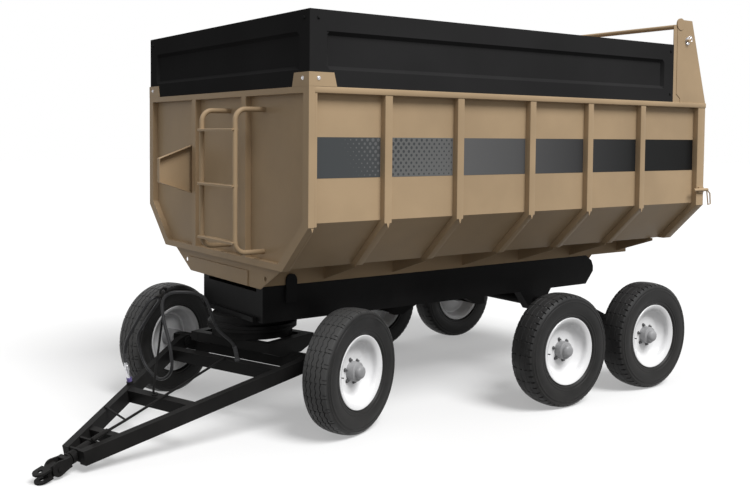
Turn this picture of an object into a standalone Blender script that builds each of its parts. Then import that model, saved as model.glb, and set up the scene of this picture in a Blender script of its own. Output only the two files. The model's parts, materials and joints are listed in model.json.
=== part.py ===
# Farm tipping trailer with a steered front axle, an A-frame drawbar and a
# tandem rear bogie. Metres, +X forward, +Y left, +Z up, standing on z = 0.
# The tub's front face is at x = 0 in the ground frame, and the whole trailer
# is moved back along X at the end so that its middle stands over the origin.
# The front axle and its drawbar are drawn straight ahead, in a frame of their
# own, and one empty turns them to where they stand.

import math

import bmesh
import bpy
from mathutils import Matrix, Vector

# Clearances
GAP = 0.0003                # between pieces that rest on each other
RUN = 0.005                 # between pieces that move past each other
PIN_PLAY = 0.0009           # radial play of a pin in its eye

# Tub: outline of its front face, in metres from the ground and the middle
TUB_LENGTH = 3.66
TUB_HALF = 1.10
RIM_TOP = 2.125
KINK_Z = 1.335
FLOOR_Z = 1.055
FLOOR_HALF = 0.815
SHEET = 0.006
RIB_DEPTH = 0.045
RIB_WIDTH = 0.055
RIM_HEIGHT = 0.036
CORNER_WIDTH = 0.060
REAR_POST = 0.090
RIB_PLACES = (0.154, 0.309, 0.483, 0.639, 0.795, 0.951)   # shares of the tub's length
FRONT_DEPTH = 0.040
FRONT_RIB_Y = 0.350
GATE_DEPTH = 0.050

# Extension boards
BOARD_TOP = 2.553
BOARD_SHEET = 0.003
BOARD_LENGTH = 3.250
BOARD_SET_BACK = 0.006
BOARD_FLANGE = 0.030
BOARD_RECESS = 0.020
RECESS_END = 0.110
RECESS_SLOPE = 0.022
RECESS_LOW = 0.095          # above the board's foot
RECESS_HIGH = 0.310
CORNER_TAB = 0.130
CORNER_TAB_RISE = 0.080
CORNER_TAB_SHEET = 0.005

# Rear arch and tailgate hinge
ARCH_RISE = 0.620           # above the rim
ARCH_TOP = RIM_TOP + ARCH_RISE
ARCH_DEPTH = 0.365          # from the tub's rear end
ARCH_FRONT = ARCH_DEPTH - TUB_LENGTH
ARCH_TOP_DEPTH = 0.190
ARCH_TOP_REAR = ARCH_TOP_DEPTH - TUB_LENGTH
ARCH_SHEET = 0.008
ARCH_INSET = 0.015          # from the tub's side
ARCH_Y = TUB_HALF - ARCH_INSET
ARCH_TUBE_R = 0.0175
ARCH_TUBE_BACK = 0.035      # behind the arch's front edge
ARCH_TUBE_X = ARCH_FRONT - ARCH_TUBE_BACK
ARCH_TUBE_DROP = 0.050      # below the arch's top
ARCH_TUBE_Z = ARCH_TOP - ARCH_TUBE_DROP
ARCH_DISC_R = 0.045
GATE_PIN_BACK = 0.120
GATE_PIN_X = ARCH_FRONT - GATE_PIN_BACK
GATE_PIN_DROP = 0.155
GATE_PIN_Z = ARCH_TOP - GATE_PIN_DROP
GATE_PIN_R = 0.0155
GATE_COLUMN = 0.560         # of the gate's inner uprights, from the middle
ARM_INSET = 0.055           # from the arch's side plate
ARM_Y = ARCH_Y - ARM_INSET
ARM_SHEET = 0.012

# Front ladder and holder
LADDER_Y = (0.100, 0.540)
LADDER_OFF = 0.200
LADDER_TOP = 2.005
LADDER_FOOT = 1.145
LADDER_R = 0.016
LADDER_BEND = 0.070
RUNG_ABOVE_FOOT = 0.065
RUNG_BELOW_TOP = 0.120
RUNG_WIDTH = 0.030
RUNG_SHEET = 0.008
HOLDER_Y = -0.400
HOLDER_REACH = 0.270
HOLDER_ROOT = (1.440, 1.790)
HOLDER_TIP = (1.530, 1.690)
HOLDER_FLANGE = 0.035
HOLDER_SHEET = 0.004

# Tub subframe
SUB_FOOT = 0.903
SUB_OUT = 0.420
SUB_WIDTH = 0.080
APRON_X = -0.045
APRON_SHEET = 0.005
APRON_TOP_HALF = 0.750
APRON_FOOT_HALF = 0.490
APRON_HOLE_R = 0.015
APRON_HOLE_OUT = 0.060      # outside the apron's foot
APRON_HOLE_UP = 0.072
OUTRIGGER_HALF = 0.770
OUTRIGGER_SHEET = 0.008
CROSS_PLATE = 0.025

# Chassis
CHASSIS_TOP = 0.900
CHASSIS_FOOT = 0.670
CHASSIS_OUT = 0.410
RAIL_WIDTH = 0.080
CHASSIS_FRONT = -0.107
CHASSIS_REAR = -3.205
RAIL_CHAMFER = 0.085
CROSS_PLACES = (-0.137, -0.420, -0.860, -1.300, -1.900, -2.545, -2.900)
CROSS_WIDTH = 0.060
CROSS_HEIGHT = 0.170
TAB_X = (-0.345, -0.265)
TAB_TOP = 0.975
TAB_FOOT = 0.790
TAB_SHEET = 0.012
HINGE_X = -3.120
HINGE_Z = 0.775
HINGE_PIN_R = 0.025
HINGE_LUG_R = 0.060
HINGE_LUG_Y = (0.270, 0.300)

# Tipping cylinder
EYE_X = -1.050
EYE_Z = 0.955
TRUNNION_PLATE = 0.012
TRUNNION_Y = 0.110
TRUNNION_R = 0.025
BARREL_R = 0.075
TUBE_WALL = 0.0095
STAGE_PLAY = 0.0008
STAGES = 3                  # tubes that slide out, the last one the rod
BARREL_UP = 0.250
BARREL_DOWN = 0.360
STAGE_STEP = 0.012
EYE_R = 0.035
EYE_HALF = 0.025
EYE_EAR = 0.012

# Wheels
TYRE_R = 0.390
TYRE_WIDTH = 0.205
BEAD_R = 0.2032
FLANGE_R = 0.232
RIM_HALF = 0.088
HUB_BACK = 0.100
SPINDLE_R = 0.030
SPINDLE_PLAY = 0.0009
WHEEL_SIDES = 18            # of tyre and wheel alike, so that their facets meet

# Rear bogie
REAR_AXLES = (-2.090, -3.000)
REAR_TRACK = 2.140
BEAM_Y = (0.700, 0.780)
BEAM_PIVOT_Z = 0.580
BEAM_DEPTH = 0.120
PIVOT_R = 0.040
STUB_SIDE = 0.080

# Front bogie, drawn straight ahead from the kingpin
KINGPIN_X = -0.265
STEER_REST = math.radians(19.5)
FRONT_TRACK = 1.620
AXLE_SIDE = 0.090
BOGIE_RAIL_Y = 0.310
BOGIE_RAIL_WIDTH = 0.060
BOGIE_RAIL_TOP = 0.530
BOGIE_RAIL_HALF = 0.235
TURNTABLE_R = 0.300
TURNTABLE_SPLIT = 0.600
KINGPIN_R = 0.030

# Drawbar, drawn level and straight ahead from its hinge
DRAW_X = 0.110
DRAW_Z = 0.415
LEG_HINGE_Y = 0.530
LEG_WIDTH = 0.050
LEG_HEIGHT = 0.085
LEG_EYE_R = 0.045
LEG_START_X = 0.055         # straight as far as this, clear of its lugs
LUG_SHEET = 0.010
DRAW_PIN_R = 0.0155
LEG_NOSE_X = 1.400
LEG_NOSE_Y = 0.066
DRAW_CROSS = ((0.185, 0.050, 0.080), (0.744, 0.050, 0.080), (1.175, 0.040, 0.060),
              (1.285, 0.012, 0.078), (1.385, 0.012, 0.078))   # x, width, height
SLEEVE_R = 0.036
SLEEVE_X = (1.260, 1.430)
SHANK_R = 0.025
SHANK_PLAY = 0.0008
FORK_PIN_X = 1.530
CHEEK_R = 0.042
CHEEK_Y = (0.029, 0.041)
FORK_PIN_R = 0.012
CLEVIS_HOLE_X = 1.620
CLEVIS_HALF = 0.042
CLEVIS_PLATES = (0.018, 0.030)
CLEVIS_HOLE_R = 0.014
TIP_FLAT = 0.012            # half-width of the clevis's blunt tip

# Hose: route in the drawbar's own frame, from its gland on the rear
# crossmember, round its hook and down to the coupler on the far leg
HOSE_R = 0.010
HOSE_STRAIGHT = 0.040       # out of a fitting before the first bend
HOSE_STEP = 0.058
GLAND_Y = 0.135
HOSE_TURNS = ((-0.247, 0.150, -0.300), (-0.190, 0.145, -0.080), (-0.060, 0.080, 0.000), (0.010, 0.014, -0.018),
              (0.060, 0.030, -0.120), (0.110, 0.100, -0.300), (0.130, 0.090, -0.440), (0.120, -0.040, -0.515),
              (0.100, -0.170, -0.450), (0.080, -0.220, -0.270), (0.055, -0.140, -0.100), (0.040, -0.065, -0.040),
              (0.060, -0.150, -0.080), (0.150, -0.250, -0.220))   # from the hook, along the drawbar's axes
STAND_R = 0.007
STAND_FOOT = (0.744, -0.040)
STAND_TOP = (0.500, -0.060, 0.600)
LOCK_ROD_R = 0.008
GRIP_R = 0.014


def colour_material(name, rgb, roughness, metallic=0.0):
    material = bpy.data.materials.new(name)
    material.use_nodes = True
    shader = material.node_tree.nodes["Principled BSDF"]
    shader.inputs["Base Color"].default_value = (*rgb, 1.0)
    shader.inputs["Roughness"].default_value = roughness
    shader.inputs["Metallic"].default_value = metallic
    return material


def empty(name, place, parent=None, turn=(0.0, 0.0, 0.0)):
    pivot = bpy.data.objects.new(name, None)
    bpy.context.collection.objects.link(pivot)
    pivot.location = place
    pivot.rotation_euler = turn
    pivot.parent = parent
    return pivot


# Solids: each function returns a bmesh of one closed body

def face_out(solid):
    bmesh.ops.recalc_face_normals(solid, faces=solid.faces)
    if solid.calc_volume(signed=True) < 0.0:
        bmesh.ops.reverse_faces(solid, faces=solid.faces)


def prism(outline, axis, low, high):
    """Closed outline carried along an axis. Its points hold the other two
    coordinates, in the order X, Y, Z."""
    place = {"X": lambda a, b, h: (h, a, b),
             "Y": lambda a, b, h: (a, h, b),
             "Z": lambda a, b, h: (a, b, h)}[axis]
    solid = bmesh.new()
    foot = [solid.verts.new(place(a, b, low)) for a, b in outline]
    face = solid.faces.new(foot)
    moved = bmesh.ops.extrude_face_region(solid, geom=[face])["geom"]
    verts = [v for v in moved if isinstance(v, bmesh.types.BMVert)]
    shift = Vector(place(0.0, 0.0, high - low))
    bmesh.ops.translate(solid, verts=verts, vec=shift)
    face_out(solid)
    return solid


def box(low, high):
    (x0, y0, z0), (x1, y1, z1) = low, high
    return prism([(x0, y0), (x1, y0), (x1, y1), (x0, y1)], "Z", z0, z1)


def turned(profile, axis, centre, sides):
    """Profile of (radius, height) points, closed by itself or on the axis,
    spun round an axis through the centre."""
    solid = bmesh.new()
    along, out = {"X": (Vector((1, 0, 0)), Vector((0, 0, 1))),
                  "Y": (Vector((0, 1, 0)), Vector((0, 0, 1))),
                  "Z": (Vector((0, 0, 1)), Vector((1, 0, 0)))}[axis]
    points = [solid.verts.new(out * r + along * h) for r, h in profile]
    edges = [solid.edges.new(pair) for pair in zip(points, points[1:])]
    if profile[0][0] > 0.0 or profile[-1][0] > 0.0:
        edges.append(solid.edges.new((points[-1], points[0])))
    bmesh.ops.spin(solid, geom=points + edges, axis=along, cent=(0, 0, 0),
                   angle=2 * math.pi, steps=sides, use_merge=True)
    bmesh.ops.remove_doubles(solid, verts=solid.verts, dist=1e-6)
    face_out(solid)
    bmesh.ops.translate(solid, verts=solid.verts, vec=Vector(centre))
    return solid


def rod(radius, start, end, sides=12):
    """Straight round bar between two points."""
    start, end = Vector(start), Vector(end)
    solid = bmesh.new()
    bmesh.ops.create_cone(solid, cap_ends=True, segments=sides, radius1=radius,
                          radius2=radius, depth=(end - start).length)
    turn = (end - start).to_track_quat("Z", "Y").to_matrix().to_4x4()
    turn.translation = (start + end) / 2
    bmesh.ops.transform(solid, matrix=turn, verts=solid.verts)
    return solid


def pipe(points, radius, sides=10):
    """Round bar bent along a list of points, from a bevelled curve."""
    curve = bpy.data.curves.new("pipe", "CURVE")
    curve.dimensions = "3D"
    curve.bevel_depth = radius
    curve.bevel_resolution = sides // 2 - 2
    curve.use_fill_caps = True
    spline = curve.splines.new("POLY")
    spline.points.add(len(points) - 1)
    for knot, point in zip(spline.points, points):
        knot.co = (*point, 1.0)
    carrier = bpy.data.objects.new("pipe", curve)
    bpy.context.collection.objects.link(carrier)
    mesh = bpy.data.meshes.new_from_object(carrier)
    solid = bmesh.new()
    solid.from_mesh(mesh)
    bmesh.ops.remove_doubles(solid, verts=solid.verts, dist=1e-6)
    face_out(solid)
    bpy.data.objects.remove(carrier)
    bpy.data.curves.remove(curve)
    bpy.data.meshes.remove(mesh)
    return solid


def mirrored(solid):
    """The same solid on the other side, y turned round."""
    copy = solid.copy()
    bmesh.ops.scale(copy, verts=copy.verts, vec=(1, -1, 1))
    bmesh.ops.reverse_faces(copy, faces=copy.faces)
    return copy


def both_sides(solids):
    return solids + [mirrored(solid) for solid in solids]


def arc(centre, radius, start, end, steps):
    """Points of an arc, angles in degrees."""
    turns = [math.radians(start + (end - start) * i / steps) for i in range(steps + 1)]
    return [(centre[0] + radius * math.cos(t), centre[1] + radius * math.sin(t)) for t in turns]


# Objects

def helper(solid, collection):
    mesh = bpy.data.meshes.new("helper")
    solid.to_mesh(mesh)
    piece = bpy.data.objects.new("helper", mesh)
    collection.objects.link(piece)
    piece.display_type = "WIRE"
    piece.hide_render = True
    return piece


def fuse(name, material, parent, origin, adds, cuts=(), smooth=False):
    """One named body: the added solids joined, the cuts taken out, its mesh
    drawn from the pivot that carries it."""
    mesh = bpy.data.meshes.new(name)
    adds[0].to_mesh(mesh)
    body = bpy.data.objects.new(name, mesh)
    bpy.context.collection.objects.link(body)
    helpers = []
    for mode, solids in (("UNION", adds[1:]), ("DIFFERENCE", cuts)):
        if not solids:
            continue
        group = bpy.data.collections.new("helpers")
        bpy.context.scene.collection.children.link(group)
        for solid in solids:
            helpers.append(helper(solid, group))
        change = body.modifiers.new(mode, "BOOLEAN")
        change.operation = mode
        change.operand_type = "COLLECTION"
        change.collection = group
    bpy.context.view_layer.update()
    graph = bpy.context.evaluated_depsgraph_get()
    final = bpy.data.meshes.new_from_object(body.evaluated_get(graph))
    body.modifiers.clear()
    body.data = final
    final.name = name
    bpy.data.meshes.remove(mesh)
    for piece in helpers:
        bpy.data.objects.remove(piece)
    for group in [c for c in bpy.data.collections if c.name.startswith("helpers")]:
        bpy.data.collections.remove(group)
    tidy = bmesh.new()
    tidy.from_mesh(final)
    bmesh.ops.remove_doubles(tidy, verts=tidy.verts, dist=1e-6)
    bmesh.ops.dissolve_degenerate(tidy, edges=tidy.edges, dist=1e-6)
    if len(adds) > 1 or cuts:
        bmesh.ops.dissolve_limit(tidy, angle_limit=math.radians(0.05), verts=tidy.verts, edges=tidy.edges)
    tidy.to_mesh(final)
    tidy.free()
    final.transform(Matrix.Translation(-Vector(origin)))
    final.materials.clear()
    final.materials.append(material)
    if smooth:
        final.shade_smooth()
        final.set_sharp_from_angle(angle=math.radians(30))
    body.parent = parent
    return body


# Tub outline: the front face's half outline moved in from the sides by one
# distance, square to each edge, from the rim's top round to the floor

def half_outline(inset, top=RIM_TOP, foot=FLOOR_Z):
    slope = Vector((FLOOR_HALF - TUB_HALF, FLOOR_Z - KINK_Z)).normalized()
    inward = Vector((slope.y, -slope.x))
    if inward.x > 0:
        inward = -inward
    start = Vector((TUB_HALF, KINK_Z)) + inward * inset
    side = TUB_HALF - inset
    kink_z = start.y + slope.y * (side - start.x) / slope.x
    foot_y = start.x + slope.x * (foot - start.y) / slope.y
    return [(side, top), (side, kink_z), (foot_y, foot)]


def full_outline(inset, top=RIM_TOP, foot=FLOOR_Z):
    half = half_outline(inset, top, foot)
    return half + [(-y, z) for y, z in reversed(half)]


def clipped_column(inset, y0, y1, top, foot):
    """The part of the inset outline between two side distances y0 < y1."""
    half = half_outline(inset, top, foot)
    (side, _), (_, kink_z), (foot_y, _) = half

    def lower(y):
        y = abs(y)
        if y <= foot_y:
            return foot
        return foot + (kink_z - foot) * (y - foot_y) / (side - foot_y)

    y0, y1 = max(y0, -side), min(y1, side)
    cuts = [y0] + [y for y in (-foot_y, foot_y) if y0 < y < y1] + [y1]
    return [(y, lower(y)) for y in cuts] + [(y1, top), (y0, top)]


# Tub

def tub_shell(paint, tip, origin):
    rear = -TUB_LENGTH + GATE_DEPTH + 2 * RUN
    outer = prism(full_outline(RIB_DEPTH + GAP), "X", rear, -FRONT_DEPTH - GAP)
    over = full_outline(RIB_DEPTH + SHEET, RIM_TOP + SHEET, FLOOR_Z + SHEET)
    inner = prism(over, "X", rear - SHEET, -FRONT_DEPTH - SHEET)
    return fuse("tub_shell", paint, tip, origin, [outer], [inner])


def rib_outline(depth_out=0.0):
    outer = half_outline(depth_out, RIM_TOP - RIM_HEIGHT / 2)
    inner = half_outline(RIB_DEPTH, RIM_TOP - RIM_HEIGHT / 2)
    return outer + inner[::-1]


def side_frame(name, side, paint, tip, origin):
    front = -FRONT_DEPTH - GAP
    rim = box((-TUB_LENGTH, TUB_HALF - RIB_DEPTH, RIM_TOP - RIM_HEIGHT), (front, TUB_HALF, RIM_TOP))
    spans = [(front - CORNER_WIDTH + FRONT_DEPTH, front), (-TUB_LENGTH, -TUB_LENGTH + REAR_POST)]
    for share in RIB_PLACES:
        middle = -share * TUB_LENGTH
        spans.append((middle - RIB_WIDTH / 2, middle + RIB_WIDTH / 2))
    ribs = [prism(rib_outline(0.004), "X", low, high) for low, high in spans]
    solids = [rim] + ribs
    if side < 0:
        solids = [mirrored(solid) for solid in solids]
    return fuse(name, paint, tip, origin, solids)


def front_frame(paint, tip, origin):
    plate = prism(full_outline(0.0), "X", -FRONT_DEPTH, 0.0)
    top = RIM_TOP - RIM_HEIGHT
    foot = FLOOR_Z + 0.040
    half_rib = RIB_WIDTH / 2
    edges = (-TUB_HALF, -FRONT_RIB_Y, FRONT_RIB_Y, TUB_HALF)
    windows = []
    for y0, y1 in zip(edges, edges[1:]):
        outline = clipped_column(CORNER_WIDTH, y0 + half_rib, y1 - half_rib, top, foot)
        windows.append(prism(outline, "X", -FRONT_DEPTH - SHEET, SHEET))
    tabs = []
    foot_z = RIM_TOP - RIM_HEIGHT / 2
    rise = RIM_TOP + CORNER_TAB_RISE
    slant = 0.020
    inner_y = TUB_HALF - CORNER_TAB
    face = [(inner_y, foot_z), (TUB_HALF, foot_z), (TUB_HALF, rise), (inner_y + slant, rise)]
    tabs.append(prism(face, "X", -CORNER_TAB_SHEET, 0.0))
    flank = [(-CORNER_TAB, RIM_TOP + GAP), (-FRONT_DEPTH, RIM_TOP + GAP), (-FRONT_DEPTH, foot_z),
             (0.0, foot_z), (0.0, rise), (-CORNER_TAB + slant, rise)]
    tabs.append(prism(flank, "Y", TUB_HALF - CORNER_TAB_SHEET, TUB_HALF))
    return fuse("front_frame", paint, tip, origin, [plate] + both_sides(tabs), windows)


def pressed_board(length, mitres):
    """Board along +X with its outer face at y = 0, foot at z = 0 and a long
    recess. Each station along it has its own recess depth and flange width.
    A mitre is the distance from that end at which its flange starts to widen,
    or None where the end is cut square."""
    height = BOARD_TOP - RIM_TOP - GAP
    thick = BOARD_SHEET
    stub = thick * 1.04
    ends = []
    for mitre in mitres:
        if mitre is None:
            ends.append([(0.0, 0.0, BOARD_FLANGE)])
        else:
            ends.append([(0.0, 0.0, stub)] + [(mitre, 0.0, stub)] * (mitre > 0.0)
                        + [(mitre + BOARD_FLANGE - stub, 0.0, BOARD_FLANGE)])
        ends[-1] += [(RECESS_END, 0.0, BOARD_FLANGE), (RECESS_END + RECESS_SLOPE, BOARD_RECESS, BOARD_FLANGE)]
    near_end, far_end = ends
    stations = near_end + [(length - x, depth, flange) for x, depth, flange in reversed(far_end)]
    solid = bmesh.new()
    rings = []
    for x, depth, flange in stations:
        outer = [(0.0, 0.0), (0.0, RECESS_LOW), (-depth, RECESS_LOW + RECESS_SLOPE),
                 (-depth, RECESS_HIGH - RECESS_SLOPE), (0.0, RECESS_HIGH), (0.0, height), (-flange, height)]
        inner = [(y - thick, z) for y, z in outer[:5]] + [(-thick, height - thick), (-flange, height - thick)]
        rings.append([solid.verts.new((x, y, z)) for y, z in outer + inner[::-1]])
    for near, far in zip(rings, rings[1:]):
        for i in range(len(near)):
            j = (i + 1) % len(near)
            solid.faces.new((near[i], near[j], far[j], far[i]))
    for ring in (rings[0], rings[-1]):
        count = len(ring) // 2
        for i in range(count - 1):
            solid.faces.new((ring[i], ring[i + 1], ring[-2 - i], ring[-1 - i]))
    face_out(solid)
    return solid


def boards(paint, tip, origin):
    foot = RIM_TOP + GAP
    outer_y = TUB_HALF - CORNER_TAB_SHEET - GAP
    front_x = -BOARD_SET_BACK
    side_front = front_x - BOARD_SHEET - GAP
    side_length = BOARD_LENGTH + side_front
    for name, side in (("board_left", 1), ("board_right", -1)):
        solid = pressed_board(side_length, (None, 0.0))
        move = Matrix.Translation((-BOARD_LENGTH, outer_y, foot))
        bmesh.ops.transform(solid, matrix=move, verts=solid.verts)
        if side < 0:
            solid = mirrored(solid)
        fuse(name, paint, tip, origin, [solid])
    solid = pressed_board(2 * outer_y, (BOARD_SHEET + GAP, BOARD_SHEET + GAP))
    move = Matrix.Translation((front_x, outer_y, foot)) @ Matrix.Rotation(-math.pi / 2, 4, "Z")
    bmesh.ops.transform(solid, matrix=move, verts=solid.verts)
    fuse("board_front", paint, tip, origin, [solid])


def rear_arch(paint, tip, origin):
    foot = RIM_TOP + GAP
    plate = [(ARCH_FRONT - 0.045, foot), (ARCH_FRONT - 0.045, foot + 0.030), (ARCH_FRONT, foot + 0.060),
             (ARCH_FRONT, ARCH_TOP - 0.040), (ARCH_FRONT - 0.030, ARCH_TOP), (ARCH_TOP_REAR, ARCH_TOP),
             (-TUB_LENGTH, foot)]
    side = prism(plate, "Y", ARCH_Y, ARCH_Y + ARCH_SHEET)
    flange_in = 0.030
    rear_edge = [(ARCH_TOP_REAR, ARCH_TOP), (-TUB_LENGTH, foot), (-TUB_LENGTH + 0.010, foot),
                 (ARCH_TOP_REAR + 0.010, ARCH_TOP)]
    flange = prism(rear_edge, "Y", ARCH_Y + ARCH_SHEET - flange_in, ARCH_Y + ARCH_SHEET / 2)
    disc = rod(ARCH_DISC_R, (ARCH_TUBE_X, ARCH_Y + 0.001, ARCH_TUBE_Z + 0.015),
               (ARCH_TUBE_X, ARCH_Y + ARCH_SHEET + 0.004, ARCH_TUBE_Z + 0.015), 20)
    pin = rod(GATE_PIN_R, (GATE_PIN_X, ARM_Y - 0.012, GATE_PIN_Z),
              (GATE_PIN_X, ARCH_Y + ARCH_SHEET + 0.022, GATE_PIN_Z), 12)
    collar = rod(GATE_PIN_R + 0.012, (GATE_PIN_X, ARM_Y + ARM_SHEET + RUN, GATE_PIN_Z),
                 (GATE_PIN_X, ARCH_Y + 0.002, GATE_PIN_Z), 12)
    tube = rod(ARCH_TUBE_R, (ARCH_TUBE_X, -ARCH_Y - 0.004, ARCH_TUBE_Z), (ARCH_TUBE_X, ARCH_Y + 0.004, ARCH_TUBE_Z), 14)
    return fuse("rear_arch", paint, tip, origin, [tube] + both_sides([side, disc, pin, collar]))


def tailgate(paint, gate, origin):
    front = -TUB_LENGTH + GATE_DEPTH
    rear = -TUB_LENGTH
    inset = RIB_DEPTH + RUN
    top = RIM_TOP - 0.015
    panel = prism(full_outline(inset, top), "X", rear, front)
    bar = 0.050
    middle_z = 0.5 * (KINK_Z + RIM_TOP) + 0.05
    columns = (-TUB_HALF, -GATE_COLUMN, 0.0, GATE_COLUMN, TUB_HALF)
    pockets = []
    for y0, y1 in zip(columns, columns[1:]):
        low_foot, low_top = FLOOR_Z + bar, middle_z - bar / 2
        for foot, roof in ((low_foot, low_top), (middle_z + bar / 2, top - bar)):
            outline = clipped_column(inset + bar, y0 + bar / 2, y1 - bar / 2, roof, FLOOR_Z + bar)
            outline = [(y, max(z, foot)) for y, z in outline]
            outline = [point for i, point in enumerate(outline) if point != outline[i - 1]]
            if foot > low_foot:
                ys = sorted({y for y, _ in outline})
                outline = [(ys[0], foot), (ys[-1], foot), (ys[-1], roof), (ys[0], roof)]
            pockets.append(prism(outline, "X", rear - SHEET, front - SHEET))
    arm = [(front - 0.002, top - 0.200), (rear + 0.004, top - 0.200), (rear + 0.004, top),
           (GATE_PIN_X - 0.032, GATE_PIN_Z - 0.010)]
    arm += arc((GATE_PIN_X, GATE_PIN_Z), 0.033, 180, 10, 8)
    arm += [(front - 0.002, top - 0.010)]
    plate = prism(arm, "Y", ARM_Y, ARM_Y + ARM_SHEET)
    bore = rod(GATE_PIN_R + PIN_PLAY, (GATE_PIN_X, ARM_Y - 0.010, GATE_PIN_Z),
               (GATE_PIN_X, ARM_Y + ARM_SHEET + 0.010, GATE_PIN_Z), 12)
    return fuse("tailgate", paint, gate, origin, [panel] + both_sides([plate]), pockets + both_sides([bore]))


def front_ladder(paint, tip, origin):
    wall = -FRONT_DEPTH
    reach = wall + LADDER_OFF
    rails = []
    for y in LADDER_Y:
        corner_low = arc((reach - LADDER_BEND, LADDER_FOOT + LADDER_BEND), LADDER_BEND, -90, 0, 4)
        corner_high = arc((reach - LADDER_BEND, LADDER_TOP - LADDER_BEND), LADDER_BEND, 0, 90, 4)
        path = [(wall, LADDER_FOOT)] + corner_low + corner_high + [(wall, LADDER_TOP)]
        rails.append(pipe([(x, y, z) for x, z in path], LADDER_R, 8))
    rungs = []
    low_rung, high_rung = LADDER_FOOT + RUNG_ABOVE_FOOT, LADDER_TOP - RUNG_BELOW_TOP
    for z in (low_rung, (low_rung + high_rung) / 2, high_rung):
        rungs.append(box((reach - RUNG_WIDTH / 2, LADDER_Y[0] - 0.012, z - RUNG_SHEET / 2),
                         (reach + RUNG_WIDTH / 2 + 0.012, LADDER_Y[1] + 0.012, z + RUNG_SHEET / 2)))
    return fuse("front_ladder", paint, tip, origin, rails + rungs, smooth=True)


def holder_bracket(paint, tip, origin):
    root = -FRONT_DEPTH
    tip_x = root + HOLDER_REACH
    (z0, z1), (z2, z3) = HOLDER_ROOT, HOLDER_TIP
    web = prism([(root, z0), (tip_x, z2), (tip_x, z3), (root, z1)], "Y", HOLDER_Y, HOLDER_Y + HOLDER_SHEET)
    t = HOLDER_SHEET
    flanges = []
    for low, high, lift in ((z1, z3, -t), (z0, z2, t)):
        strip = [(root, low), (tip_x, high), (tip_x, high + lift), (root, low + lift)]
        flanges.append(prism(strip, "Y", HOLDER_Y - HOLDER_FLANGE, HOLDER_Y + t / 2))
    end = box((tip_x - t, HOLDER_Y - HOLDER_FLANGE, z2), (tip_x, HOLDER_Y + t / 2, z3))
    return fuse("holder_bracket", paint, tip, origin, [web] + flanges + [end])


def tub_subframe(paint, tip, origin):
    top = FLOOR_Z - GAP
    rear = -TUB_LENGTH + GATE_DEPTH + 2 * RUN
    inner = SUB_OUT - SUB_WIDTH
    halves = [box((rear, inner, SUB_FOOT), (APRON_X - APRON_SHEET / 2, SUB_OUT, top))]
    for share in RIB_PLACES:
        x = -share * TUB_LENGTH
        gusset = [(SUB_OUT - 0.010, SUB_FOOT + 0.012), (SUB_OUT - 0.010, top), (OUTRIGGER_HALF, top),
                  (OUTRIGGER_HALF, top - 0.020)]
        halves.append(prism(gusset, "X", x - OUTRIGGER_SHEET / 2, x + OUTRIGGER_SHEET / 2))
    lug_low, lug_high = HINGE_LUG_Y
    lug = [(HINGE_X + 0.190, SUB_FOOT + 0.020)]
    lug += arc((HINGE_X, HINGE_Z), HINGE_LUG_R, 60, -80, 6)
    lug += arc((HINGE_X, HINGE_Z), HINGE_LUG_R, -90, -130, 3)
    lug += [(HINGE_X - 0.240, SUB_FOOT + 0.020)]
    halves.append(prism(lug, "Y", lug_low, lug_high))
    halves.append(box((HINGE_X - 0.240, lug_low, SUB_FOOT + 0.010), (HINGE_X + 0.190, inner + 0.010, SUB_FOOT + 0.050)))
    ear_top = top - CROSS_PLATE / 2
    ear = [(EYE_X - 0.045, ear_top), (EYE_X - 0.040, EYE_Z - 0.020), (EYE_X - 0.020, EYE_Z - 0.040),
           (EYE_X + 0.020, EYE_Z - 0.040), (EYE_X + 0.040, EYE_Z - 0.020), (EYE_X + 0.045, ear_top)]
    ear_y = EYE_HALF + RUN
    halves.append(prism(ear, "Y", ear_y, ear_y + EYE_EAR))
    halves.append(rod(0.020, (EYE_X, ear_y + EYE_EAR / 2, EYE_Z), (EYE_X, ear_y + EYE_EAR + 0.014, EYE_Z), 12))
    crosses = []
    for x, half_width in ((-0.110, 0.030), (EYE_X, 0.110), (-1.90, 0.030), (-2.70, 0.030), (-3.520, 0.030)):
        crosses.append(box((x - half_width, -inner - 0.010, top - CROSS_PLATE),
                           (x + half_width, inner + 0.010, top)))
    apron = [(-APRON_TOP_HALF, top), (-APRON_FOOT_HALF, SUB_FOOT), (APRON_FOOT_HALF, SUB_FOOT), (APRON_TOP_HALF, top)]
    plate = prism(apron, "X", APRON_X - APRON_SHEET, APRON_X)
    hole_y, hole_z = APRON_FOOT_HALF + APRON_HOLE_OUT, SUB_FOOT + APRON_HOLE_UP
    holes = both_sides([rod(APRON_HOLE_R, (APRON_X - 0.020, hole_y, hole_z), (APRON_X + 0.020, hole_y, hole_z), 12),
                        rod(HINGE_PIN_R + PIN_PLAY, (HINGE_X, lug_low - 0.02, HINGE_Z),
                            (HINGE_X, lug_high + 0.02, HINGE_Z), 12)])
    return fuse("tub_subframe", paint, tip, origin, [plate] + both_sides(halves) + crosses, holes)


def latch(name, side, paint, tip, origin):
    face = TUB_HALF - 0.004 + GAP
    x = -TUB_LENGTH + REAR_POST / 2
    z = 1.455
    base = box((x - 0.030, face, z - 0.022), (x + 0.030, face + 0.012, z + 0.022))
    tube = rod(0.012, (x + 0.100, face + 0.014, z), (x - 0.075, face + 0.014, z), 12)
    end = x - 0.068
    loop = pipe([(end, face + 0.014, z), (end - 0.030, face + 0.022, z - 0.030), (end - 0.026, face + 0.030, z - 0.110),
                 (end + 0.004, face + 0.030, z - 0.115), (end, face + 0.014, z - 0.004)], 0.005, 8)
    solids = [base, tube, loop]
    if side < 0:
        solids = [mirrored(solid) for solid in solids]
    return fuse(name, paint, tip, origin, solids)


# Chassis and rear bogie

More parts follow.
